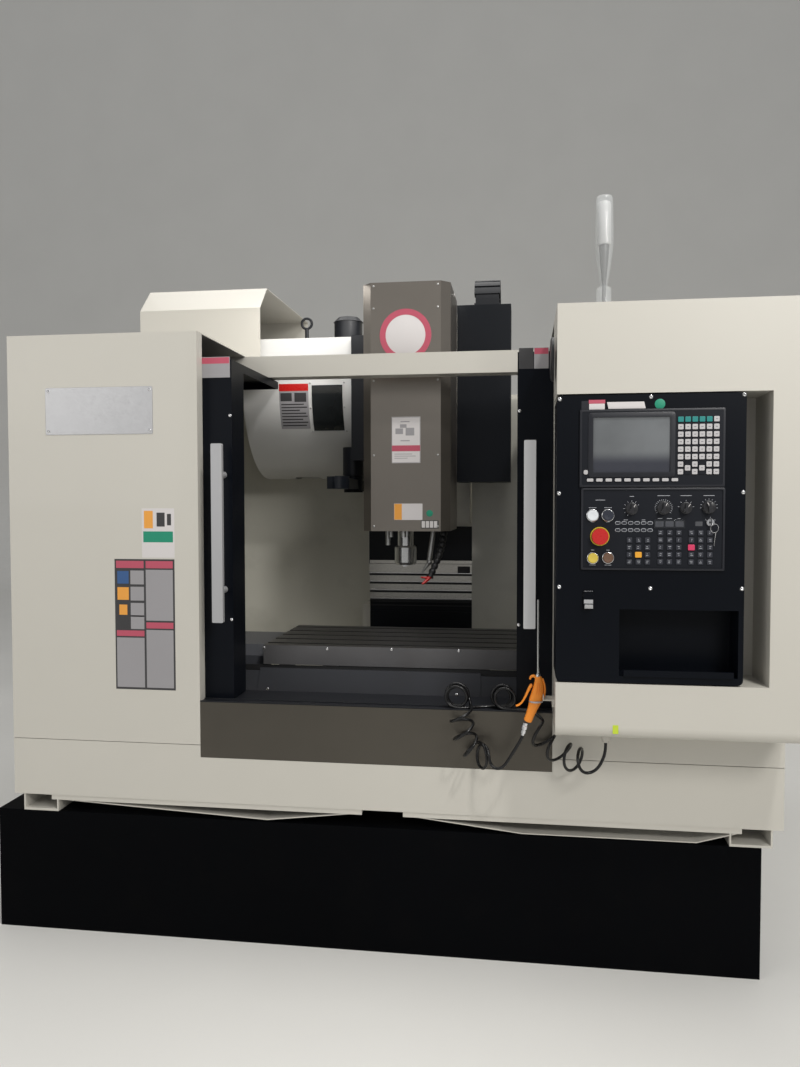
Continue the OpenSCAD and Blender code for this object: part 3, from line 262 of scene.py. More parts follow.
# Each row: name, base colour, roughness, share of the broad shift, grain per metre and bump; then what is special.
CREAM = finish("cream_powder_coat", (0.542, 0.52, 0.466), 0.42, 0.025, 420, 0.012, coat=0.12)
WHITE = finish("white_enamel", (0.64, 0.635, 0.62), 0.32, 0.02, 300, 0.008, coat=0.25)
INNER = finish("inner_guard_paint", (0.6, 0.585, 0.52), 0.38, 0.06, 260, 0.012, coat=0.2, dirt=0.22)
CASTING = finish("painted_casting", (0.62, 0.6, 0.54), 0.5, 0.05, 60, 0.05, dirt=0.25)
TANK = finish("tank_powder_coat", (0.0018, 0.002, 0.0026), 0.55, 0.15, 420, 0.015, dirt=0.03, spec=0.03)
NAVY = finish("navy_powder_coat", (0.002, 0.003, 0.0056), 0.36, 0.15, 480, 0.012, spec=0.13)
BLACK = finish("black_satin_paint", (0.0045, 0.0058, 0.0085), 0.38, 0.15, 350, 0.015, spec=0.2)
GREY_COVER = finish("grey_cover_paint", (0.052, 0.054, 0.062), 0.36, 0.1, 200, 0.015, dirt=0.2)
STAINLESS = finish("brushed_stainless_upright", (0.235, 0.212, 0.186), 0.34, 0.08, 40, 0.012,
                   metal=0.85, broad=1.8, brush=(60, 60, 1.2))
APRON_STEEL = finish("brushed_stainless_flat", (0.095, 0.086, 0.072), 0.36, 0.1, 40, 0.012,
                     metal=0.8, broad=2.2, brush=(1.2, 60, 60))
PLATE_STEEL = finish("way_cover_steel", (0.6, 0.575, 0.525), 0.3, 0.05, 40, 0.01,
                     metal=0.75, broad=3, brush=(1.5, 80, 80))
TABLE_IRON = finish("milled_iron", (0.125, 0.122, 0.125), 0.38, 0.14, 60, 0.02,
                    metal=0.5, broad=4, brush=(1.5, 30, 30), dirt=0.25)
GROUND_STEEL = finish("ground_steel", (0.62, 0.62, 0.61), 0.22, 0.04, 120, 0.006, metal=0.95, brush=(40, 40, 4))
ALUMINIUM = finish("satin_aluminium", (0.42, 0.42, 0.43), 0.34, 0.03, 60, 0.008, metal=0.3, brush=(60, 60, 3))
# Painted light: the right door handle gets the left handle's aluminium made brighter, to make up for the shadow that
# the operator cabinet casts on it.
PAINTED_LIGHT_ALUMINIUM = finish("aluminium_painted_light", (0.74, 0.74, 0.745), 0.34, 0.03, 60, 0.008,
                          metal=0.15, brush=(60, 60, 3))
CHROME = finish("bright_metal", (0.74, 0.74, 0.75), 0.18, 0.03, 140, 0.004, metal=0.95)
DULL_STEEL = finish("turned_steel", (0.42, 0.42, 0.41), 0.4, 0.1, 90, 0.02, metal=0.8, dirt=0.25)
MOTOR = finish("motor_paint", (0.007, 0.008, 0.011), 0.4, 0.2, 120, 0.03, spec=0.35)
PANEL = finish("key_panel_plastic", (0.0048, 0.0062, 0.0105), 0.42, 0.1, 500, 0.012, spec=0.25)
KEY_GREY = finish("key_caps", (0.05, 0.056, 0.075), 0.42, 0.12, 400, 0.01)
KEY_DARK = finish("dark_key_caps", (0.018, 0.02, 0.03), 0.42, 0.12, 400, 0.01)
KNOB = finish("knob_plastic", (0.014, 0.014, 0.017), 0.36, 0.15, 300, 0.02)
RUBBER = finish("black_rubber", (0.012, 0.012, 0.013), 0.5, 0.2, 220, 0.03)
HOSE = finish("air_hose", (0.0035, 0.0035, 0.004), 0.3, 0.2, 160, 0.01, coat=0.12, spec=0.35)
ORANGE = finish("orange_moulding", (0.86, 0.27, 0.02), 0.45, 0.06, 320, 0.02)
RED = finish("red_cap", (0.5, 0.012, 0.01), 0.3, 0.06, 250, 0.008, coat=0.3)
YELLOW = finish("yellow_plate", (0.6, 0.44, 0.03), 0.4, 0.05, 250, 0.01)
print(len(bpy.data.materials), "finishes so far")

# %% [markdown]
# A pane lets part of the light through and mirrors the rest, so it gets an alpha below one and a clear coat.

# %% Glass and clear tube
def pane(name, tint, alpha, rough):
    """A clear surface: low roughness, a tint and an alpha that says how much of it is seen."""
    made = finish(name, tint, rough, 0.05, 200, 0.002, coat=0.4)
    made.node_tree.nodes["Principled BSDF"].inputs["Alpha"].default_value = alpha
    return made


WINDOW = pane("tinted_pane", (0.07, 0.085, 0.08), 0.55, 0.08)
CLEAR = pane("clear_tube", (0.78, 0.82, 0.84), 0.42, 0.1)
SCREEN = finish("display_glass", (0.006, 0.008, 0.012), 0.09, 0.1, 60, 0.001, coat=0.6)
print("panes and screen made")

# %% [markdown]
# The photograph was taken from chest height, turned about eight degrees to the left. Its vanishing lines give the
# lens: 860 pixels for a frame 1067 pixels high, which is 29 mm on a 36 mm side.

# %% Camera
SENSOR_MM, FOCAL_PX, HEIGHT_PX = 36.0, 860.2, 1067
lens = bpy.data.cameras.new("camera")
lens.sensor_fit = "VERTICAL"
lens.sensor_height = SENSOR_MM
lens.lens = SENSOR_MM * FOCAL_PX / HEIGHT_PX
lens.clip_end = 60
camera = bpy.data.objects.new("camera", lens)
COLLECTION.objects.link(camera)
camera.location = at([464.6, -2694.5, 1461])
camera.rotation_euler = (math.pi / 2 - 0.0377, 0.0013, 0.1409)
bpy.context.scene.camera = camera
print("camera at", [round(v, 3) for v in camera.location])

# %% [markdown]
# The blow gun is one moulding. Its section is an oval carried along the grip's line:
# point = line + a cos(t) * side + b sin(t) * depth, with a and b read from a short table.

# %% The blow gun
def oval_loft(line, half_width, half_depth, sides=24, y=-100):
    """Rounded sections along a line of (x, z) rows; a power below 1 squares the oval a little."""
    line = np.insert(np.asarray(line, float), 1, y, axis=1)
    count, power = 40, 0.8
    t = np.linspace(0, 1, len(line))
    even = np.linspace(0, 1, count)
    path = smooth_path(line, count)
    a, b = np.interp(even, t, half_width), np.interp(even, t, half_depth)
    ahead = np.gradient(path, axis=0)
    ahead /= np.linalg.norm(ahead, axis=1, keepdims=True)
    deep = np.array([0, 1.0, 0])
    side = np.cross(deep, ahead)
    side /= np.linalg.norm(side, axis=1, keepdims=True)
    angle = around(sides)
    c, s = np.cos(angle), np.sin(angle)
    c, s = np.sign(c) * np.abs(c) ** power, np.sign(s) * np.abs(s) ** power
    near_end = 1 - np.minimum(np.minimum(even, 1 - even) / 0.05, 1)
    ends = np.minimum(1, np.sqrt(np.maximum(0.0004, 1 - near_end**2)))
    across = (a * ends)[:, None, None] * c[None, :, None] * side[:, None]
    ring = path[:, None] + across + (b * ends)[:, None, None] * s[None, :, None] * deep
    return at(ring.reshape(-1, 3)), grid_faces(count, sides, False, True)[:, ::-1]


gun_body = oval_loft([[514, 938], [516, 922], [515, 900], [511, 878], [503, 852], [493, 824], [482, 795]],
                     [9, 14, 18, 19.5, 15, 13, 12.5], [9, 11.5, 13, 13, 12, 11.5, 11])
hook = oval_loft([[510, 930], [501, 936], [493, 933], [490, 925]], [4, 4, 3.6, 3], [7, 7, 6, 5])
guard = oval_loft([[527, 930], [534, 905], [533, 880], [524, 862]], [3, 3, 3, 3], [6, 6, 6, 6])
groove_lines = [oval_loft([[512 + x, 918], [511 + x, 900], [508 + x, 880]], [0.8, 1, 0.8], [0.8, 1, 0.8], 8,
                          [-113.2, -113.4, -113.2]) for x in (0, 5, 10)]
gun = piece("blow_gun", [gun_body, hook, guard] + groove_lines, ORANGE)
collar = turned([514, -100, 930], [(0, 7), (10, 7), (13, 5), (16, 3.4)], TOP, 20)
pipe = tube([[514, -100, 936], [513.8, -100, 1060], [513.7, -100, 1166]], 3.4, 14)
piece("blow_nozzle", [pipe, collar], GROUND_STEEL)
slant = np.array([[0.972, 0, -0.235], [0, 1.0, 0], [0.235, 0, 0.972]])
plug_profile = [(-1, 0.02), (-1, 5.3), (5, 5.3), (6, 8.2), (14, 8.2), (15, 6.6), (18, 6.6), (19, 9.6), (28, 9.6),
                (29, 8), (38, 8), (38, 0.02)]
plug = piece("gun_plug", [turned([468.9, -100, 756.5], plug_profile, slant, 36)], CHROME)
holder = turned([508, -100, 858], [(0, 0.02), (0, 21), (3, 21.5), (4, 20), (4, 0.02)], TOP, 36)
piece("gun_bracket_ring", [holder], ALUMINIUM)
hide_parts("air_gun")
lever = oval_loft([[496, 912], [487, 896], [477, 874], [465, 854], [452, 845], [448, 847]],
                  [4.5, 4.5, 3.6, 3, 2.6, 2.4], [8, 9, 9, 9, 8.5, 8])
trigger = piece("gun_lever", [lever], ORANGE, "gun_trigger")
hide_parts("gun_trigger")
print("blow gun made")

# %% [markdown]
# The gun hangs on a curly hose of 9.4 mm tube. It leaves the gland under the operator cabinet, falls in open turns,
# stands in two coils on the sill and falls in open turns again to the gun. Each open turn is a circle round a middle
# that moves along: point = middle + r * (cos a * u + sin a * v). The skew turns u from the depth towards the width,
# and the lean tips v from upright, so a turn shows as a loop or as a slanting stroke.

# %% The air hose
HOSE_R = 4.7
REST_Z = 804.8  # height of the hose's middle where it lies on the sill


def spiral(angles, rows, radius):
    """A row for each angle: x, y, z of the middle, skew s and lean l, in degrees.

    u = (sin s cos l, cos s, -sin s sin l) and v = (sin l, 0, cos l).
    """
    rows = np.column_stack([angles, rows]).astype(float)
    way = np.sign(rows[-1, 0] - rows[0, 0])
    angle = np.arange(rows[0, 0], rows[-1, 0] + way, 20.0 * way)
    rows = rows[np.argsort(rows[:, 0])]
    track = np.stack([np.interp(angle, rows[:, 0], rows[:, i]) for i in range(1, 6)])
    for _ in range(2):
        track[:, 1:-1] = (track[:, :-2] + 2 * track[:, 1:-1] + track[:, 2:]) / 4
    skew, lean, turn = np.radians(track[3]), np.radians(track[4]), np.radians(angle)
    u = np.stack([np.sin(skew) * np.cos(lean), np.cos(skew), -np.sin(skew) * np.sin(lean)], -1)
    v = np.stack([np.sin(lean), 0 * lean, np.cos(lean)], -1)
    return track[:3].T + radius * (np.cos(turn)[:, None] * u + np.sin(turn)[:, None] * v)


def coil(x0, x1, radius, y0, y1, turns):
    """Turns that rest on the sill: x + r sin a, z = REST_Z + r (1 - cos a), where r swells and shrinks by 2.5 mm."""
    a = np.linspace(0, 2 * math.pi * turns, int(abs(turns) * 18) + 2)
    r = radius + 2.5 * np.sin(0.37 * a + 1)
    x, y = np.linspace(x0, x1, len(a)), np.linspace(y0, y1, len(a))
    return np.stack([x + r * np.sin(a), y, REST_Z + r * (1 - np.cos(a))], -1)


def eased(path, reach=6):
    """Running mean with raised-cosine weights: it rounds the places where one run of the hose joins the next."""
    weight = np.hanning(2 * reach + 3)[1:-1]
    padded = np.concatenate([2 * path[:1] - path[reach:0:-1], path, 2 * path[-1:] - path[-2:-reach - 2:-1]])
    return np.stack([np.convolve(column, weight / weight.sum(), "valid") for column in padded.T], -1)


right_turns = spiral([-100] + [-90 * k for k in range(2, 16)], [
    [666, -96, 684, 40, 0], [651, -82, 680, 30, 0], [641, -66, 675, 28, 0], [632, -58, 674, 28, 3],
    [621, -52, 674, 28, 10], [609, -50, 680, 28, 15], [601, -49, 686, 28, 20], [587, -48, 691, 26, 30],
    [577, -48, 697, 26, 36], [559, -48, 704, 26, 40], [541, -47, 714, 26, 41], [535, -47, 728, 26, 41],
    [529, -46, 739, 22, 41], [519, -45, 750, 20, 41], [509, -44, 761, 16, 41]], 37.5)
left_turns = spiral([90 * k for k in range(1, 19)], [
    [278, -40, 798, 0, 66], [278, -44, 795, 0, 68], [280, -45, 790, 0, 68], [282, -46, 774, 0, 68],
    [285, -46, 759, 0, 68], [288, -46, 743, 0, 68], [291, -46, 734, -4, 68], [293, -46, 726, -6, 68],
    [296, -46, 717, -8, 66], [305, -46, 704, -14, 58], [316, -46, 693, -20, 48], [327, -46, 684, -28, 30],
    [338, -46, 675, -34, 10], [342, -46, 669, -34, 2], [343, -46, 667, -34, 0], [346, -46, 669, -30, 0],
    [350, -47, 672, -26, 0], [352, -49, 680, -26, 0]], 36.0)
gland_fall = [[713.6, -100, 741.1], [713.4, -100.5, 727.4], [710.5, -101, 705], [699.1, -101, 676.9],
              [684.1, -99, 655.9]]
onto_sill = [[516, -24, 797], [499, -9, 806], [478, 2, 808], [450, 8, 805.2]]
sill_link = [[372, 43.5, REST_Z], [335, 36, REST_Z], [300, 19, REST_Z]]
off_sill = [[301, 38, 828], [306, 18, 811], [309, -8, 812]]
to_gun = [[369.5, -83.5, 664], [376, -85.5, 651.5], [389, -88, 644.5], [404, -90, 647], [416, -92, 658.5],
          [426, -94, 675], [440, -96.5, 699], [456.5, -99, 728], [467.4, -100, 748.4], [470.4, -100, 754.8]]
hose_route = np.concatenate([gland_fall, right_turns, onto_sill, coil(417, 400, 34.5, 9, 44.5, -4), sill_link,
                             coil(261, 262, 35, 10, 44, -3.7), off_sill, left_turns, to_gun])
hose_route = eased(eased(smooth_path(hose_route, 1400)))[::2]
hose = piece("air_hose", [tube(hose_route, HOSE_R, 10)], HOSE)
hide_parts("hose_runs", "hose_coils")

# %% [markdown]
# The floor is pale and turns up into a wall far behind. It isn't part of the object.

# %% Floor and backdrop
turn = np.linspace(0, math.pi / 2, 12)
sweep = np.stack([9.0 + 2.0 * np.sin(turn), 2.0 - 2.0 * np.cos(turn)], -1)
floor_line = np.concatenate([[[-12.0, 0.0], [9.0, 0.0]], sweep, [[11.0, 12.0]]])
room = [(x, y, z) for x in (-45.0, 0.0, 45.0) for y, z in floor_line]
FLOOR = finish("pale_floor", (0.74, 0.73, 0.7), 0.6, 0.015, 30, 0.004)
floor_mesh = bpy.data.meshes.new("floor")
floor_mesh.from_pydata(room, [], grid_faces(3, len(floor_line), False, False).tolist())
floor_mesh.materials.append(FLOOR)
floor = bpy.data.objects.new("floor", floor_mesh)
COLLECTION.objects.link(floor)
print("floor of", len(room), "points")

# %% [markdown]
# The hall has long lamps under its roof. A wide lamp overhead, two in front on the right, a weak one on the left, a
# small one inside the guard and an even world give the same plain light and soft shadows.

# %% Light
def lamp(name, place, aim, size, power, colour=(1.0, 0.985, 0.955)):
    """Rectangular area lamp turned so that its axis points from its place to the aim."""
    data = bpy.data.lights.new(name, "AREA")
    data.shape, data.size, data.size_y, data.energy, data.color = "RECTANGLE", size[0], size[1], power, colour
    made = bpy.data.objects.new(name, data)
    COLLECTION.objects.link(made)
    made.location = place
    direction = np.array(aim, float) - np.array(place, float)
    tilt, heading = math.acos(-direction[2] / np.linalg.norm(direction)), math.atan2(direction[1], direction[0])
    made.rotation_euler = (tilt, 0, heading - math.pi / 2)
    return made


lamp("roof_lamp", (-0.2, 0.1, 4.6), (0.0, 0.2, 0.0), (4.5, 3.0), 95)
lamp("hall_lamp", (1.9, -3.2, 5.2), (-0.5, 0.1, 1.2), (0.35, 0.35), 80)
lamp("front_lamp", (2.5, -4.6, 3.5), (-0.3, 0.0, 1.0), (1.3, 1.0), 84)
lamp("fill_lamp", (-3.2, -4.2, 2.4), (0.0, 0.0, 1.1), (2.5, 2.0), 27)
lamp("work_lamp", (-0.2, -0.1, 2.36), (-0.35, 0.15, 1.0), (0.8, 0.4), 4).visible_camera = False
world = bpy.data.worlds.new("room")
bpy.context.scene.world = world
world.use_nodes = True
for key, value in {"Color": (0.93, 0.94, 0.95, 1), "Strength": 0.42}.items():
    world.node_tree.nodes["Background"].inputs[key].default_value = value
bpy.context.scene.view_settings.view_transform = "Standard"

# %% [markdown]
# The CAD nodes only need their finish. One table gives each node its material.

# %% Finishes of the CAD nodes
POWER_WHITE = finish("lit_button", (0.62, 0.64, 0.66), 0.3, 0.03, 250, 0.006, glow=(0.9, 0.97, 1.0, 0.1))
POWER_DARK = finish("dark_button", (0.022, 0.026, 0.04), 0.3, 0.1, 250, 0.006, coat=0.3)
START_YELLOW = finish("yellow_button", (0.62, 0.47, 0.07), 0.32, 0.05, 250, 0.006, coat=0.3)
HOLD_BROWN = finish("brown_button", (0.14, 0.075, 0.045), 0.32, 0.05, 250, 0.006, coat=0.3)
NODE_FINISH = {
    CREAM: "chip_tray front_skirt front_panels left_enclosure right_enclosure crossbeam magazine_hood "
           "electrical_cabinet electrical_door operator_cabinet",
    WHITE: "magazine_cover",
    INNER: "inner_guard",
    CASTING: "bed column saddle head_casting",
    TANK: "coolant_tank",
    NAVY: "left_door right_door console",
    BLACK: "column_cover chain_box change_arm",
    GREY_COVER: "saddle_cover table_end_covers",
    STAINLESS: "head_cover",
    APRON_STEEL: "apron",
    PLATE_STEEL: "z_cover_1 z_cover_2 z_cover_3 z_cover_4",
    TABLE_IRON: "table",
    GROUND_STEEL: "spindle",
    ALUMINIUM: "left_door_handle",
    # The right handle's lighter aluminium is painted light.
    PAINTED_LIGHT_ALUMINIUM: "right_door_handle",
    DULL_STEEL: "levelling_feet coolant_nozzles",
    MOTOR: "axis_motors changer_drive cable_chain",
    PANEL: "display_unit machine_panel",
    KNOB: "carousel mode_knob spindle_knob feed_knob step_knob",
    ORANGE: "air_gun gun_trigger",
    RED: "isolator_handle emergency_stop",
    WINDOW: "left_door_window right_door_window",
    CLEAR: "signal_lamp", POWER_WHITE: "power_on", POWER_DARK: "power_off", START_YELLOW: "cycle_start",
    HOLD_BROWN: "feed_hold",
}
TABLE_TOP = finish("oiled_iron", (0.045, 0.043, 0.042), 0.34, 0.14, 60, 0.02,
                   metal=0.5, broad=4, brush=(1.5, 30, 30), dirt=0.25)
# Painted shade: the walls and floors of the T-slots are near black, where shade falls inside them.
SLOT_SHADE = finish("slot_painted_shade", (0.004, 0.004, 0.004), 0.5, 0.1, 60, 0.02)
# The sill's top face and the door track are near black.
SILL = finish("sill_near_black", (0.008, 0.009, 0.012), 0.4, 0.1, 200, 0.015, dirt=0.1, spec=0.3)
for material, names in NODE_FINISH.items():
    for name in names.split():
        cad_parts[name].data.materials.clear()
        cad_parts[name].data.materials.append(material)


def second_finish(name, material, inside):
    """Gives the faces whose middle in millimetres passes the test a second material, and leaves the mesh as it is."""
    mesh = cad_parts[name].data
    mesh.materials.append(material)
    read = {"center": np.empty(3 * len(mesh.polygons)), "normal": np.empty(3 * len(mesh.polygons)),
            "material_index": np.empty(len(mesh.polygons), int)}
    for key, values in read.items():
        mesh.polygons.foreach_get(key, values)
    x, y, z = (read["center"].reshape(-1, 3) * 1000 - SHIFT).T
    index = read["material_index"]
    index[inside(x, y, z, read["normal"].reshape(-1, 3).T)] = len(mesh.materials) - 1
    mesh.polygons.foreach_set("material_index", index)


second_finish("table", TABLE_TOP, lambda x, y, z, n: (z > 939) & (n[2] > 0.9))
# Painted shade on the walls and floors of the T-slots.
second_finish("table", SLOT_SHADE, lambda x, y, z, n: (z > 900) & (z < 939.5) & (abs(n[0]) < 0.5) & (abs(y - 564) < 245))
second_finish("apron", SILL, lambda x, y, z, n: (z > 795) & (n[2] > 0.9) & (y > 4))
second_finish("electrical_cabinet", GREY_COVER,
              lambda x, y, z, n: (y > 1913) & (y < 2072) & (abs(x) < 455) & (z > 700) & (z < 1700))
second_finish("electrical_cabinet", ALUMINIUM, lambda x, y, z, n: (abs(y - 1912) < 0.6) & (n[1] > 0.9))
print("left without a finish:", sorted(set(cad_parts) - set(" ".join(NODE_FINISH.values()).split())))

# %% [markdown]
# The console's upper unit has a flat screen, switched off, with soft keys under it and a keyboard on its right.
# The caps are thin slabs set on the CAD keys, in one piece for each colour.

# %% Display unit
FACE = -221.0


def console(name, parts, finish):
    """A piece that swings with the console."""
    return piece(name, parts, finish, "console")


def caps(places, lift, *size, **more):
    """One slab of the same size at each (x, z), lifted off the console's face by so many millimetres."""
    return [slab([x, FACE - lift, z], *size, **more) for x, z in places]


KEY_WHITE = finish("white_key_caps", (0.47, 0.455, 0.46), 0.42, 0.04, 300, 0.01)
KEY_TEAL = finish("teal_key_caps", (0.006, 0.2, 0.19), 0.42, 0.06, 300, 0.01)
KEY_ORANGE = finish("orange_key_cap", (0.74, 0.34, 0.025), 0.4, 0.04, 300, 0.01, glow=(1.0, 0.45, 0.05, 0.03))
KEY_PINK = finish("rose_key_cap", (0.58, 0.035, 0.11), 0.4, 0.04, 300, 0.01, glow=(0.9, 0.05, 0.15, 0.03))
DISPLAY = finish("screen_off", (0.14, 0.148, 0.155), 0.2, 0.22, 60, 0.001, broad=4.5, coat=0.25)
MARK = finish("pale_marks", (0.46, 0.47, 0.5), 0.5, 0.05, 200, 0.004)
BEZEL = finish("screen_bezel", (0.0085, 0.0095, 0.0145), 0.36, 0.1, 420, 0.014)


def reflection_darker_below(material, low, high, dark):
    """Painted reflection: a darker tone below, its share easing from 1 at the low height to 0 at the high one."""
    tree = material.node_tree
    base = tree.nodes["Principled BSDF"].inputs["Base Color"]
    split = node(tree, "SeparateXYZ")
    share = node(tree, "MapRange", From_Min=low, From_Max=high, To_Min=1.0, To_Max=0.0)
    share.interpolation_type = "SMOOTHSTEP"
    tree.links.new(node(tree, "TexCoord").outputs["Object"], split.inputs["Vector"])
    tree.links.new(split.outputs["Z"], share.inputs["Value"])
    tree.links.new(blend(tree, share.outputs["Result"], base.links[0].from_socket, dark), base)


# Painted reflection: the lower band of the switched-off screen is darker and bluer.
reflection_darker_below(DISPLAY, 1.563, 1.603, (0.034, 0.036, 0.048))
console("display_glass", caps([(765.5, 1617)], 3.0, 210, 155, 0.8, 3, 0.4), DISPLAY)
frames = caps([(765.5, 1617)], 6.0, 236, 180, 2.4, 8, 1.0, hole=(209, 154, 4))
frames += caps([(820, 1607.5)], 5.9, 391, 216, 0.9, 5, 0.5, hole=(380, 205, 3))
console("display_frame", frames, BEZEL)
columns, rows = 897 + 19 * np.arange(6), 1541 + 20.6 * np.arange(8)
white = [(x, z) for x in columns for z in rows[2:7]] + [(columns[5], rows[7])]
white += [(columns[i], rows[j]) for i in (0, 2, 4, 5) for j in (0, 1)]
white += [(columns[i], rows[0] + 10.3) for i in (1, 3)]
console("keyboard_caps", caps(white, 8, 14.6, 14.6, 1.6, 2, 0.6), KEY_WHITE)
console("keyboard_teal_caps", caps([(x, rows[7]) for x in columns[:5]], 8, 15.2, 14.6, 1.6, 2, 0.6), KEY_TEAL)
console("keyboard_marks", caps(white, 9.6, 6.2, 1.3, 0.15, 0.5, 0.05), KEY_GREY)
soft_keys = caps([(653 + 25.5 * i, 1519) for i in range(10)], 8, 17.5, 8.5, 1.4, 2, 0.5)
console("soft_keys", soft_keys + caps([(641, 1541)], 7.4, 11.5, 12.5, 1.6, 4, 0.5), KEY_WHITE)
print("keyboard caps", len(white) + 5, "soft keys", len(soft_keys))

# %% [markdown]
# The stickers above the screen are plain fields here: a white one with a red head band, a pale tape cut on the
# slant and a bare green disc.

# %% Plain fields above the screen
INK_WHITE = finish("sticker_white", (0.62, 0.59, 0.585), 0.55)
INK_RED = finish("sticker_red", (0.46, 0.075, 0.12), 0.5, 0.08, 200, 0.006)
INK_GREEN = finish("sticker_green", (0.005, 0.24, 0.14), 0.5)
console("console_label", caps([(671, 1722)], 0, 43, 21, 0.5, 1, 0.2), INK_WHITE)
console("console_label_band", caps([(671, 1738)], 0, 45, 10.5, 0.5, 1, 0.2), INK_RED)
tape = slab([751, FACE, 1727], 101, 19, 0.5, 1, 0.2)
tape[0][:, 0] += (tape[0][:, 2] - tape[0][:, 2].mean()) * -0.22
console("console_tape", [tape], INK_WHITE)
disc = [(0, 14.2), (0.5, 14.2), (0.6, 13.9), (0.6, 0.02)]
console("console_disc", [turned([842, FACE, 1729], disc, sides=40)], INK_GREEN)
console("console_square", caps([(638, 1727)], 0, 19, 27, 0.4, 1, 0.2), BEZEL)
print("plain fields placed")

# %% [markdown]
# The machine panel has a raised frame. Each selector gets a ring of ticks and the small keys get pale marks in place
# of words. A tick stands at middle + r * (sin a, cos a), turned to point at the middle.

# %% Frame, ticks and marks of the machine panel
console("panel_frame", caps([(823.5, 1382)], 3, 389, 230, 3.2, 6, 1.4, hole=(377, 219, 3)), BEZEL)
DIALS = {"mode_knob": (768, 1439, 15.5, -150, 60, 8), "spindle_knob": (854, 1441, 17, -125, 125, 19),
         "feed_knob": (914, 1441, 14.7, -80, 80, 5), "step_knob": (975, 1443, 16.3, -95, 95, 9)}


def ticks(x, z, radius, first, last, count):
    """Thin slabs round a dial, each turned so that it points at the middle."""
    made = []
    for a in np.radians(np.linspace(first, last, count)):
        turn = np.array([[math.cos(a), 0, -math.sin(a)], [math.sin(a), 0, math.cos(a)], [0, -1.0, 0]])
        middle = [x + (radius + 5.4) * math.sin(a), FACE - 3, z + (radius + 5.4) * math.cos(a)]
        made.append(slab(middle, 0.9, 4.4, 0.2, 0.3, 0.08, turn))
    return made


dial_ticks = [t for dial in DIALS.values() for t in ticks(*dial)]
console("dial_ticks", dial_ticks + ticks(979, 1401, 8, -60, 60, 3), MARK)
groups = [(762, 1290, 4), (846, 1291, 5), (929, 1291, 5)]
key_places = [(x0 + 24.6 * i, z0 + 20.3 * j) for x0, z0, count in groups for i in range(3) for j in range(count)]
coloured = {(762 + 24.6, 1290 + 20.3 * 1): KEY_ORANGE, (929, 1291 + 20.3 * 2): KEY_PINK}
plain_keys = [p for p in key_places if p not in coloured]
console("panel_keys", caps(plain_keys, 5, 15, 14.6, 1.2, 2.4, 0.6), KEY_DARK)
seed = np.random.default_rng(7)
marks = []
for x, z in plain_keys:
    for k in range(2):
        wide = seed.uniform(2.5, 8.5)
        marks.append(slab([x + seed.uniform(-1.2, 1.2), FACE - 6.2, z + 2.4 - 4.6 * k], wide, 1.1, 0.12, 0.4, 0.05))
console("panel_marks", marks, MARK)
for i, (place, colour) in enumerate(coloured.items(), start=1):
    console(f"panel_lit_key_{i}", caps([place], 5, 18, 16, 1.8, 2.4, 0.6), colour)
print("panel keys", len(key_places))

# %% [markdown]
# The indicators are two rows of small ovals with a pale rim. The counter window shows three unlit groups of digits.

# %% Indicators and counter window
ovals = [(730 + 17.6 * i, z) for i in range(6) for z in (1379, 1399)]
console("indicator_rims", caps(ovals, 3, 14.6, 9.6, 1.7, 4.7, 0.4, hole=(12.4, 7.4, 3.6)), MARK)
console("indicator_glass", caps(ovals, 4.4, 12.2, 7.2, 0.9, 3.5, 0.4), KEY_DARK)
COUNTER = finish("counter_grey", (0.06, 0.062, 0.07), 0.45, 0.2, 500, 0.01)
console("counter_window", caps([(870, 1396.5)], 4.5, 84, 24, 0.8, 2, 0.4), SCREEN)
fields = [(843 + 27 * i, 1396.5) for i in range(3)]
console("counter_fields", caps(fields, 5.3, 22, 15, 0.3, 1.5, 0.1), COUNTER)
digits = [(836 + 27 * i + 6.8 * j, 1396.5) for i in range(3) for j in range(3)]
console("counter_digits", caps(digits, 5.6, 4.4, 9.5, 0.15, 0.8, 0.05, hole=(2.2, 6.6, 0.4)), KEY_GREY)
bars = [(682, 1463, 27), (661, 1441.5, 21), (703, 1441.5, 21), (768, 1473, 12), (854, 1475, 34), (914, 1475, 30),
        (975, 1475, 30), (661, 1401, 9), (703, 1401, 9), (662, 1322.5, 9), (704, 1322.5, 9), (662, 1280.5, 17),
        (704, 1280.5, 19), (752, 1407.5, 12), (800, 1407.5, 10), (845, 1411.6, 12), (870, 1411.6, 14), (896, 1411.6, 8)]
console("panel_words_bars", [b for x, z, w in bars for b in caps([(x, z)], 3, w, 1.2, 0.12, 0.4, 0.05)], MARK)
print("indicators", len(ovals))

# %% [markdown]
# Buttons sit in bright collars. A selector is a ribbed cap with a raised bar and a pointer line, and the emergency
# stop is a domed mushroom on a yellow ring.

# %% Collars, knob caps and the emergency stop
BUTTONS = {"power_on": (661, 1420, 15, POWER_WHITE), "power_off": (703, 1420, 15, POWER_DARK),
           "cycle_start": (662, 1300, 14, START_YELLOW), "feed_hold": (704, 1301, 14, HOLD_BROWN)}
collars = []
for name, (x, z, r, colour) in BUTTONS.items():
    profile = [(0, r + 2.8), (3.4, r + 2.7), (4.4, r + 2.0), (4.8, r + 1.0), (4.0, r + 0.5), (0, r + 0.5)]
    collars.append(turned([x, FACE - 3, z], profile, sides=40, ring=True))
    dome = [(0, r - 1), (0, r + 0.05), (1.6, r + 0.05), (2.6, r - 0.8), (2.9, r - 3), (2.2, r - 6), (1.8, 0.02)]
    piece(name + "_cap", [turned([x, FACE - 10.4, z], dome, sides=40)], colour, name)
console("button_collars", collars, CHROME)
stop = [(0, 20), (0.4, 22.4), (3, 23), (6.4, 22.6), (9.4, 20.2), (11.2, 16), (12.2, 9), (12.5, 0.02)]
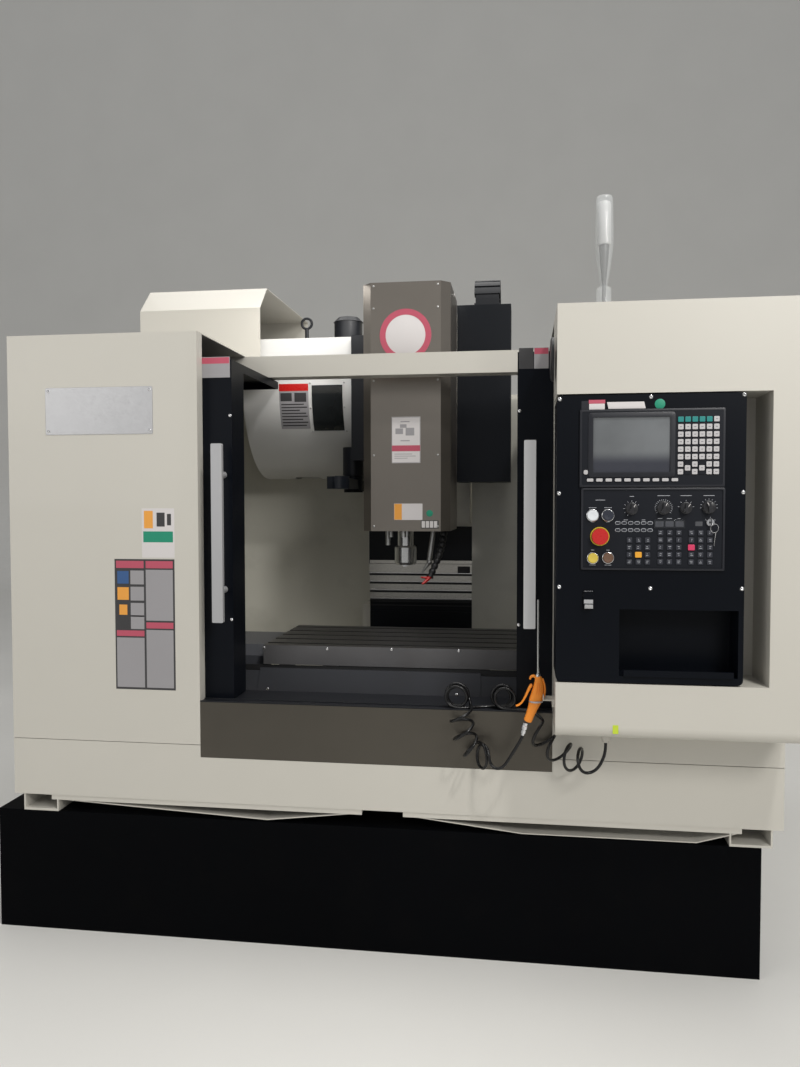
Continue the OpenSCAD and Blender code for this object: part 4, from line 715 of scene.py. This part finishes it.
piece("emergency_stop_cap", row([(681, 1361)], FACE - 10.4, stop, 48), RED, "emergency_stop")
ring = [(0, 26.6), (3.4, 26.4), (4.8, 25.6), (4.8, 23.6), (0, 23.6)]
console("emergency_stop_ring", [turned([681, FACE - 3, 1361], ring, sides=48, ring=True)], YELLOW)
SHOWN = {"mode_knob": 35, "spindle_knob": 28, "feed_knob": 38, "step_knob": -30}
for name, (x, z, r, _, _, _) in DIALS.items():
    cap = [(0, r + 1.6), (1.5, r + 1.6), (2.2, r + 0.5), (10.6, r + 0.2), (11.4, r - 0.9), (11.4, 0.02)]
    bar = slab([x, FACE - 3.5 - 11.2, z], 7.6, 2 * r - 1.5, 8.1, 3, 1.2)
    point = slab([x, FACE - 3.5 - 19.2, z + r * 0.55], 1.7, r * 0.75, 0.25, 0.5, 0.1)
    s, c, centre = math.sin(math.radians(SHOWN[name])), math.cos(math.radians(SHOWN[name])), at([x, 0, z])
    for part in (bar, point):
        part[0][:] = (part[0] - centre) @ np.array([[c, 0, s], [0, 1, 0], [-s, 0, c]]).T + centre
    piece(name + "_cap", [turned([x, FACE - 3.5, z], cap, sides=60, flutes=20, depth=0.022), bar], KNOB, name)
    piece(name + "_pointer", [point], INK_WHITE, name)
lock = [(0, 11.5), (4, 11.3), (5.5, 10), (5.5, 4), (4.5, 3.8), (4.5, 0.02)]
console("key_switch", row([(979, 1401)], FACE - 3, lock, 36) + caps([(979, 1401)], 7, 2.4, 17, 12.4, 1, 0.4), CHROME)
turn = around(28)
split_ring = np.stack([988 + 10.5 * np.sin(turn), FACE - 16 - 3 * np.cos(turn), 1385 + 12 * np.cos(turn)], -1)
tail = smooth_path([[992, FACE - 13, 1374], [991.5, FACE - 9, 1362], [990, FACE - 6, 1345],
                    [989.5, FACE - 5, 1336]], 12)
console("key_ring", [tube(split_ring, 0.55, 6, True), tube(tail, 0.8, 6)], CHROME)
console("switch_field", caps([(949, 1397)], 3, 19, 12.5, 0.3, 1, 0.1), COUNTER)
print("collars", len(collars), "knobs", len(DIALS))

# %% [markdown]
# Domed screws hold the front sheet, and a bent steel hook hangs on it: a profile in depth and height, carried
# across the width and narrower at the bottom.

# %% Console screws and hook
SCREWS = [(569, 1747), (818, 1749), (1066, 1751), (568, 1482), (1066, 1484), (570, 1217), (821, 1216), (1066, 1218)]
dome_screw = [(0, 6.2), (1.2, 6.0), (2.4, 4.8), (3.0, 2.6), (2.3, 1.0), (2.2, 0.02)]
piece("console_screws", row(SCREWS, FACE, dome_screw, 24), CHROME, "console")
hook_line = np.array([[-2, 1206], [-4, 1203], [-6, 1196], [-8.4, 1180], [-10, 1170], [-13, 1162], [-18, 1158.6],
                      [-20.5, 1162], [-20.6, 1170]])
hook_half = np.array([11.5, 12.8, 13.2, 12.6, 12.2, 11.8, 11.6, 11.6, 11.2])
outer = [np.stack([651 + s * hook_half, FACE + hook_line[:, 0], hook_line[:, 1]], -1) for s in (-1, -0.4, 0.4, 1)]
inner = [o + [0, 1.6, 0.4] for o in outer[::-1]]
hook = at(np.stack(outer + inner, 1).reshape(-1, 3)), grid_faces(9, 8, False, True)
piece("key_hook", [hook], ALUMINIUM, "console")
print("screws", len(SCREWS))

# %% [markdown]
# The sheet metal carries plates, stickers and screws, none with a word: a bare silver plate with four rivets, and
# white fields with coloured bands and plain blocks.

# %% Fields and plates on the front panels
SILVER = finish("silver_plate", (0.42, 0.42, 0.43), 0.34, 0.06, 160, 0.006, metal=0.6)
INK_GREY = finish("sticker_grey", (0.3, 0.29, 0.3), 0.55, 0.06, 200, 0.006)
INK_BLACK = finish("sticker_ink", (0.035, 0.034, 0.036), 0.55, 0.06, 200, 0.006)
INK_AMBER = finish("sticker_amber", (0.76, 0.33, 0.05), 0.5)
INK_BLUE = finish("sticker_blue", (0.03, 0.09, 0.24), 0.5)
rivet = [(0, 5), (1.0, 4.8), (2.0, 3.4), (2.4, 0.02)]


def field(x0, x1, z0, z1, y=0.0, lift=0.4):
    """A thin plain field between two corners on a front-facing surface at depth y."""
    return slab([(x0 + x1) / 2, y, (z0 + z1) / 2], x1 - x0, z1 - z0, lift, 1.0, 0.15)


def label(name, boxes, finish, body="frame", y=0.0, lift=0.4):
    """Plain fields where the real machine bears a sticker: one for each box of corners x0, x1, z0, z1."""
    return piece(name, [field(*box, y, lift) for box in boxes], finish, body)


def printed(name, boxes, finish, body="frame", y=0.0, lift=0.2):
    """Fields that lie 0.4 mm before a surface at depth y, on top of a label."""
    return label(name, boxes, finish, body, y - 0.4, lift)


piece("name_plate", [slab([-925.5, 0, 1761], 377, 156, 1.6, 5, 0.6)], SILVER)
rivets = row([(x, z) for x in (-1103, -748) for z in (1695, 1828)], -1.5, rivet)
piece("name_plate_rivets", rivets, CHROME)
label("panel_sticker", [(-780, -667, 1275, 1438)], INK_WHITE)
printed("panel_sticker_amber", [(-772, -741, 1372, 1430)], INK_AMBER)
printed("panel_sticker_ink", [(-728, -700, 1378, 1424), (-692, -678, 1382, 1420)], INK_BLACK)
printed("panel_sticker_green", [(-775, -672, 1326, 1362)], INK_GREEN)
label("plain_board", [(-877, -668, 835, 1270)], INK_BLACK)
printed("plain_board_red", [(-872, -775, 1240, 1264), (-768, -674, 1240, 1264), (-872, -775, 1013, 1032),
                            (-768, -674, 1040, 1060)], INK_RED)
white_fields = [(-822, -775, z, z + 46) for z in (1186, 1132, 1078, 1037)]
white_fields += [(-872, -775, 842, 1008), (-768, -674, 1066, 1235), (-768, -674, 842, 1035)]
printed("plain_board_white", white_fields, INK_GREY)
printed("plain_board_blue", [(-868, -828, 1188, 1230)], INK_BLUE)
printed("plain_board_amber", [(-868, -828, 1134, 1176), (-862, -834, 1084, 1118)], INK_AMBER)
print("fields on the left panel placed")

# %% [markdown]
# The magazine cover is round below, so its fields bend with it: at height z below the middle its front stands at
# y = DRUM_Y - sqrt(r^2 - (DRUM_Z - z)^2), and straight up above it.

# %% Fields and window on the round magazine cover
DRUM_Y, DRUM_Z, DRUM_R = 1460, 1970, 400


def patch(x0, x1, z0, z1, lift, under=0.3):
    """A closed strip of the drum's surface, from under it to lift above it, in 14 rows of equal height."""
    z = np.linspace(z0, z1, 14)
    below = np.maximum(DRUM_Z - z, 0)
    front, back = (DRUM_Y - np.sqrt((DRUM_R + h) ** 2 - below**2) for h in (lift, -under))
    edges = (x0, back), (x0, front), (x1, front), (x1, back)
    rows = np.stack([np.stack([np.full(14, x), y, z], -1) for x, y in edges], 1)
    faces = grid_faces(14, 4, False, True)[:, ::-1].tolist()
    return at(rows.reshape(-1, 3)), faces + [[0, 1, 2, 3], [55, 54, 53, 52]]


SMOKED = finish("smoked_window", (0.016, 0.018, 0.019), 0.12, 0.25, 120, 0.002, broad=5, coat=0.4)
piece("magazine_window", [patch(-464, -325, 1778, 1976, 1.4)], SMOKED)
window_screws = [(-472, 1986), (-318, 1986), (-472, 1878), (-318, 1878), (-470, 1776), (-316, 1776)]
small_screw = [(0, 4.2), (1.4, 3.9), (2.2, 2.6), (2.3, 0.02)]
screws = [turned([x, DRUM_Y - math.sqrt(DRUM_R**2 - max(DRUM_Z - z, 0) ** 2), z], small_screw, sides=16)
          for x, z in window_screws]
piece("magazine_screws", screws, DULL_STEEL)
widths = (110, 118, 96, 118, 112, 84, 118, 104)
bars = [(-606, -606 + w, z, z + 5, 0.8) for z, w in zip(range(1800, 1900, 13), widths)]
for name, material, boxes in (
        ("field", INK_GREY, [(-614, -480, 1788, 1951, 0.5)]),
        ("field_band", RED, [(-614, -480, 1952, 1984, 0.5)]),
        ("field_marks", INK_BLACK, [(-608, -556, 1908, 1944, 0.8), (-544, -490, 1904, 1944, 0.8)]),
        ("field_bars", INK_BLACK, bars)):
    piece("magazine_" + name, [patch(*box) for box in boxes], material)
print("magazine window and fields")

# %% [markdown]
# The head cover bears a bare round plate, two white fields, one green spot and small screws along its folds.

# %% Fields and screws of the head cover
HEAD_Y = 640.0
disc, spot = [(0, 101), (0.8, 101), (1.2, 100), (1.2, 0.02)], [(0, 13), (0.4, 13), (0.5, 12.6), (0.5, 0.02)]
ring = [(0, 101), (0.6, 101), (0.6, 78), (0, 78)]
piece("head_disc", row([(14, 2105)], HEAD_Y, disc, 72), INK_WHITE, "head")
piece("head_disc_ring", row([(14, 2105)], HEAD_Y - 1.1, ring, 72), INK_RED, "head")
label("head_field", [(-41, 72, 1609, 1789)], INK_WHITE, "head", HEAD_Y)
printed("head_field_band", [(-40, 71, 1655, 1678)], INK_RED, "head", HEAD_Y)
head_marks = [(-40, 71, z, z + 2) for z in (1610, 1786)] + [(x, x + 2, 1611, 1787) for x in (-41, 69.5)]
head_marks += [(-6, 30, 1768, 1772), (-6, 30, 1694, 1698)]
head_marks += [(x, x + w, z, z + h) for x, w, z, h in ((-26, 30, 1722, 22), (14, 34, 1716, 30), (-8, 26, 1746, 14))]
head_marks += [(-30, -30 + w, z, z + 2.5) for z, w in ((1643, 70), (1635, 84), (1627, 52))]
printed("head_field_marks", head_marks, INK_GREY, "head", HEAD_Y, 0.15)
label("head_note", [(-32, 80, 1387, 1451)], INK_WHITE, "head", HEAD_Y)
printed("head_note_amber", [(-31, -1, 1388, 1450)], INK_AMBER, "head", HEAD_Y)
piece("head_spot", row([(108, 1413)], HEAD_Y, spot, 36), INK_GREEN, "head")
piece("head_small_plate", [field(74, 143, 1354, 1386, HEAD_Y)], INK_BLACK, "head")
small_fields = [field(77 + 16 * i, 90 + 16 * i, 1357, 1383, HEAD_Y - 0.4, 0.2) for i in range(4)]
piece("head_small_fields", small_fields, INK_WHITE, "head")
cover_screws = [(x, z) for x in (-112, 140) for z in (1362, 1640, 1930, 2210, 2296)]
piece("head_cover_screws", row(cover_screws, HEAD_Y, small_screw), DULL_STEEL, "head")
print("head cover dressed")

# %% [markdown]
# Each plate of the upright way cover ends below in a black rubber wiper that rests on the next one.

# %% Wipers of the way cover and the black sheet above them
piece("head_skirt_sheet", [slab([0, 1296, 1255], 496, 176, 0.8, 1, 0.3)], BLACK, "head")
for i, low in enumerate((1111.25, 1070.5, 1029.75, 989.0), start=1):
    front = 1302 + 5 * i
    wiper, edge = slab([0, front, low + 4.5], 498, 9, 2.2, 1, 0.6), slab([0, front, low + 11.4], 498, 4, 1.2, 1, 0.5)
    piece(f"cover_wiper_{i}", [wiper], RUBBER, f"cover_{i}")
    piece(f"cover_edge_{i}", [edge], GROUND_STEEL, f"cover_{i}")
label("cover_field", [(168, 226, 1124, 1156)], INK_BLACK, "cover_1", 1307)
piece("column_cover_ribs", [slab([0, 1327, z], 496, 5, 0.3, 1, 0.1) for z in (985, 968)], RUBBER)
piece("head_skirt_edge", [slab([0, 1295.2, 1176], 490, 15, 0.8, 1, 0.3)], PLATE_STEEL, "head")
# Painted shade: a strip in black rubber closes the gap under the table's front edge, where shade falls.
piece("under_table_shade_strip", [slab([-10, 322, 856], 1214, 22, 2, 0.8, 0.4)], RUBBER, "saddle")
print("way cover wipers placed")

# %% [markdown]
# Small bright clips stand along the table's front edge. The segmented coolant hose is a chain of ball joints, with
# the radius r = 10 + 4.5 * |cos(9 pi t)| along its length t, and it has a red tip.

# %% Table clips and the segmented coolant hose
clip = [(0, 5.5), (1.5, 5.5), (3, 4), (3.2, 0.02)]
clips = [(-462, 928), (-227, 930), (7, 933), (246, 934), (480, 935)]
piece("table_edge_clips", row(clips, 314, clip, 14), CHROME, "table")
hose_line = smooth_path([[152, 790, 1352], [150, 772, 1310], [142, 745, 1265], [126, 715, 1215], [112, 695, 1180],
                         [104, 686, 1160]], 120)
joints = tube(hose_line, 10 + 4.5 * np.abs(np.cos(math.pi * 9 * np.linspace(0, 1, len(hose_line)))), 14)
piece("coolant_hose", [joints], RUBBER, "head")
tips = [tube(smooth_path([[104, 686, 1161], [92, 676, 1147], [76, 664, 1134]], 10), np.linspace(9, 4, 10), 14),
        tube(smooth_path([[106, 688, 1160], [88, 680, 1158], [70, 672, 1160]], 8), np.linspace(6, 3, 8), 12)]
piece("coolant_tip", tips, RED, "head")
print("coolant hose", len(hose_line), "rings")

# %% [markdown]
# The doors have plain fields in their upper corners and small bright screws on the posts. A lime tag sits low on
# the operator cabinet, and a black track lies under the doors.

# %% Fields, screws and the track of the doors
LIME = finish("lime_tag", (0.5, 0.62, 0.04), 0.5)
post_screw = [(0, 5), (1.6, 4.8), (2.8, 3), (3, 0.02)]
for side, x, box, band in (("left", -491, (-593, -490, 1869, 1937), (-591, -492, 1915, 1935)),
                           ("right", 455.5, (500, 545, 1875, 1940), (501, 544, 1920, 1939))):
    label(side + "_door_field", [box], INK_GREY, side + "_leaf", 50)
    printed(side + "_door_band", [band], INK_RED, side + "_leaf", 50)
    piece(side + "_post_screws", row([(x, 1744), (x, 1068)], 50, post_screw), CHROME, side + "_leaf")
label("right_door_ink", [(453, 498, 1875, 1940)], INK_BLACK, "right_leaf", 50)
label("lime_tag", [(721, 737, 801, 826)], LIME, y=-220)
piece("cover_screws", row([(239, 780), (-448, 780)], 309, post_screw), CHROME, "saddle")
track_rails = [slab([-12, 3 + 40 * i, 801.2], 1218, 5, 3, 0.6, 0.4, TOP) for i in range(2)]
piece("door_track", [slab([-12, 24, 799.8], 1222, 44, 1.2, 0.6, 0.3, TOP)] + track_rails, SILL)
cap_rows = [(0, 64), (5, 64), (8.5, 61), (10, 56), (10.4, 0.02)]
piece("side_cap", [turned([555, -118, 1875], cap_rows, LEFT_SIDE, 48)], KNOB)
print("doors dressed")

# %% [markdown]
# The signal lamp is a clear shell round a white diffuser above and a grey cone below, each turned from a profile.

# %% Signal lamp
SHELL = pane("lamp_shell", (0.8, 0.83, 0.84), 0.22, 0.06)
DIFFUSER = finish("lamp_diffuser", (0.5, 0.5, 0.495), 0.4, 0.05, 120, 0.004)
CORE = finish("lamp_core", (0.1, 0.098, 0.095), 0.35, 0.08, 120, 0.004)
LAMP_FOOT = [703, -50, 2015.5]
PROFILES = {
    "lamp_shell": (SHELL, 48, [(0, 0.02), (0, 22), (4, 22.5), (74, 22), (78, 20), (79, 11), (83, 10.5), (98, 12.5),
                               (128, 17.5), (170, 23.6), (194, 26.2), (212, 27.2), (260, 27), (335, 24.6),
                               (342, 23.6), (346, 21), (347, 0.02)]),
    "lamp_diffuser": (DIFFUSER, 40, [(204, 0.02), (204, 19), (206, 20.5), (320, 19.5), (330, 16), (331, 0.02)]),
    "lamp_core": (CORE, 40, [(2, 0.02), (2, 7), (80, 5.5), (100, 7), (150, 11.5), (200, 15), (203, 15), (203, 0.02)]),
}
for name, (material, sides, profile) in PROFILES.items():
    piece(name, [turned(LAMP_FOOT, profile, TOP, sides)], material)
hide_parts("signal_lamp")
print("signal lamp turned")

# %% [markdown]
# Each side has a service panel with latches and screws, and a row of louvres. The electrical door at the rear has
# its latches and a bare plate.

# %% Sides and rear
latch = [(0, 17), (2, 17), (3, 15.5), (3.2, 9), (7, 8.6), (7.6, 7), (7.6, 0.02)]
panel_screw = [(0, 7), (1.5, 6.8), (3, 4.4), (3.2, 0.02)]
for side, sign, facing in (("left", -1, LEFT_SIDE), ("right", 1, RIGHT_SIDE)):
    x, out = sign * 1250, sign * 1.8
    piece(f"{side}_service_panel", [slab([x, 831, 1300], 690, 830, 1.8, 14, 0.8, facing)], CREAM)
    inner = [turned([x + out, y, z], panel_screw, facing, 16) for y in (502, 831, 1160) for z in (900, 1700)]
    piece(f"{side}_panel_screws", inner, DULL_STEEL)
    latches = [turned([x + out, 520, z], latch, facing, 28) for z in (1120, 1480)]
    piece(f"{side}_panel_latches", latches, BLACK)
    louvres = [slab([x, 1490, 690 + 34 * k], 400, 14, 7, 3, 3, facing) for k in range(9)]
    piece(f"{side}_louvres", louvres, CREAM)
    outer = [turned([x, y, z], panel_screw, facing, 16) for y in (70, 1860) for z in (540, 1000, 1460, 1920)]
    piece(f"{side}_rear_screws", outer, DULL_STEEL)
print("sides dressed")

# %% The electrical door
DOOR_Y = 2163
latches = row([(518, z) for z in (900, 1320, 1740)], DOOR_Y, latch, 28, REAR)
piece("door_latches", latches, BLACK, "electrical_door")
plate = slab([120, DOOR_Y, 1760], 150, 90, 1.2, 3, 0.4, REAR)
piece("door_plate", [plate], SILVER, "electrical_door")
rivets = row([(x, z) for x in (55, 185) for z in (1725, 1795)], DOOR_Y + 1, rivet, 16, REAR)
piece("door_plate_rivets", rivets, CHROME, "electrical_door")
print("electrical door dressed")
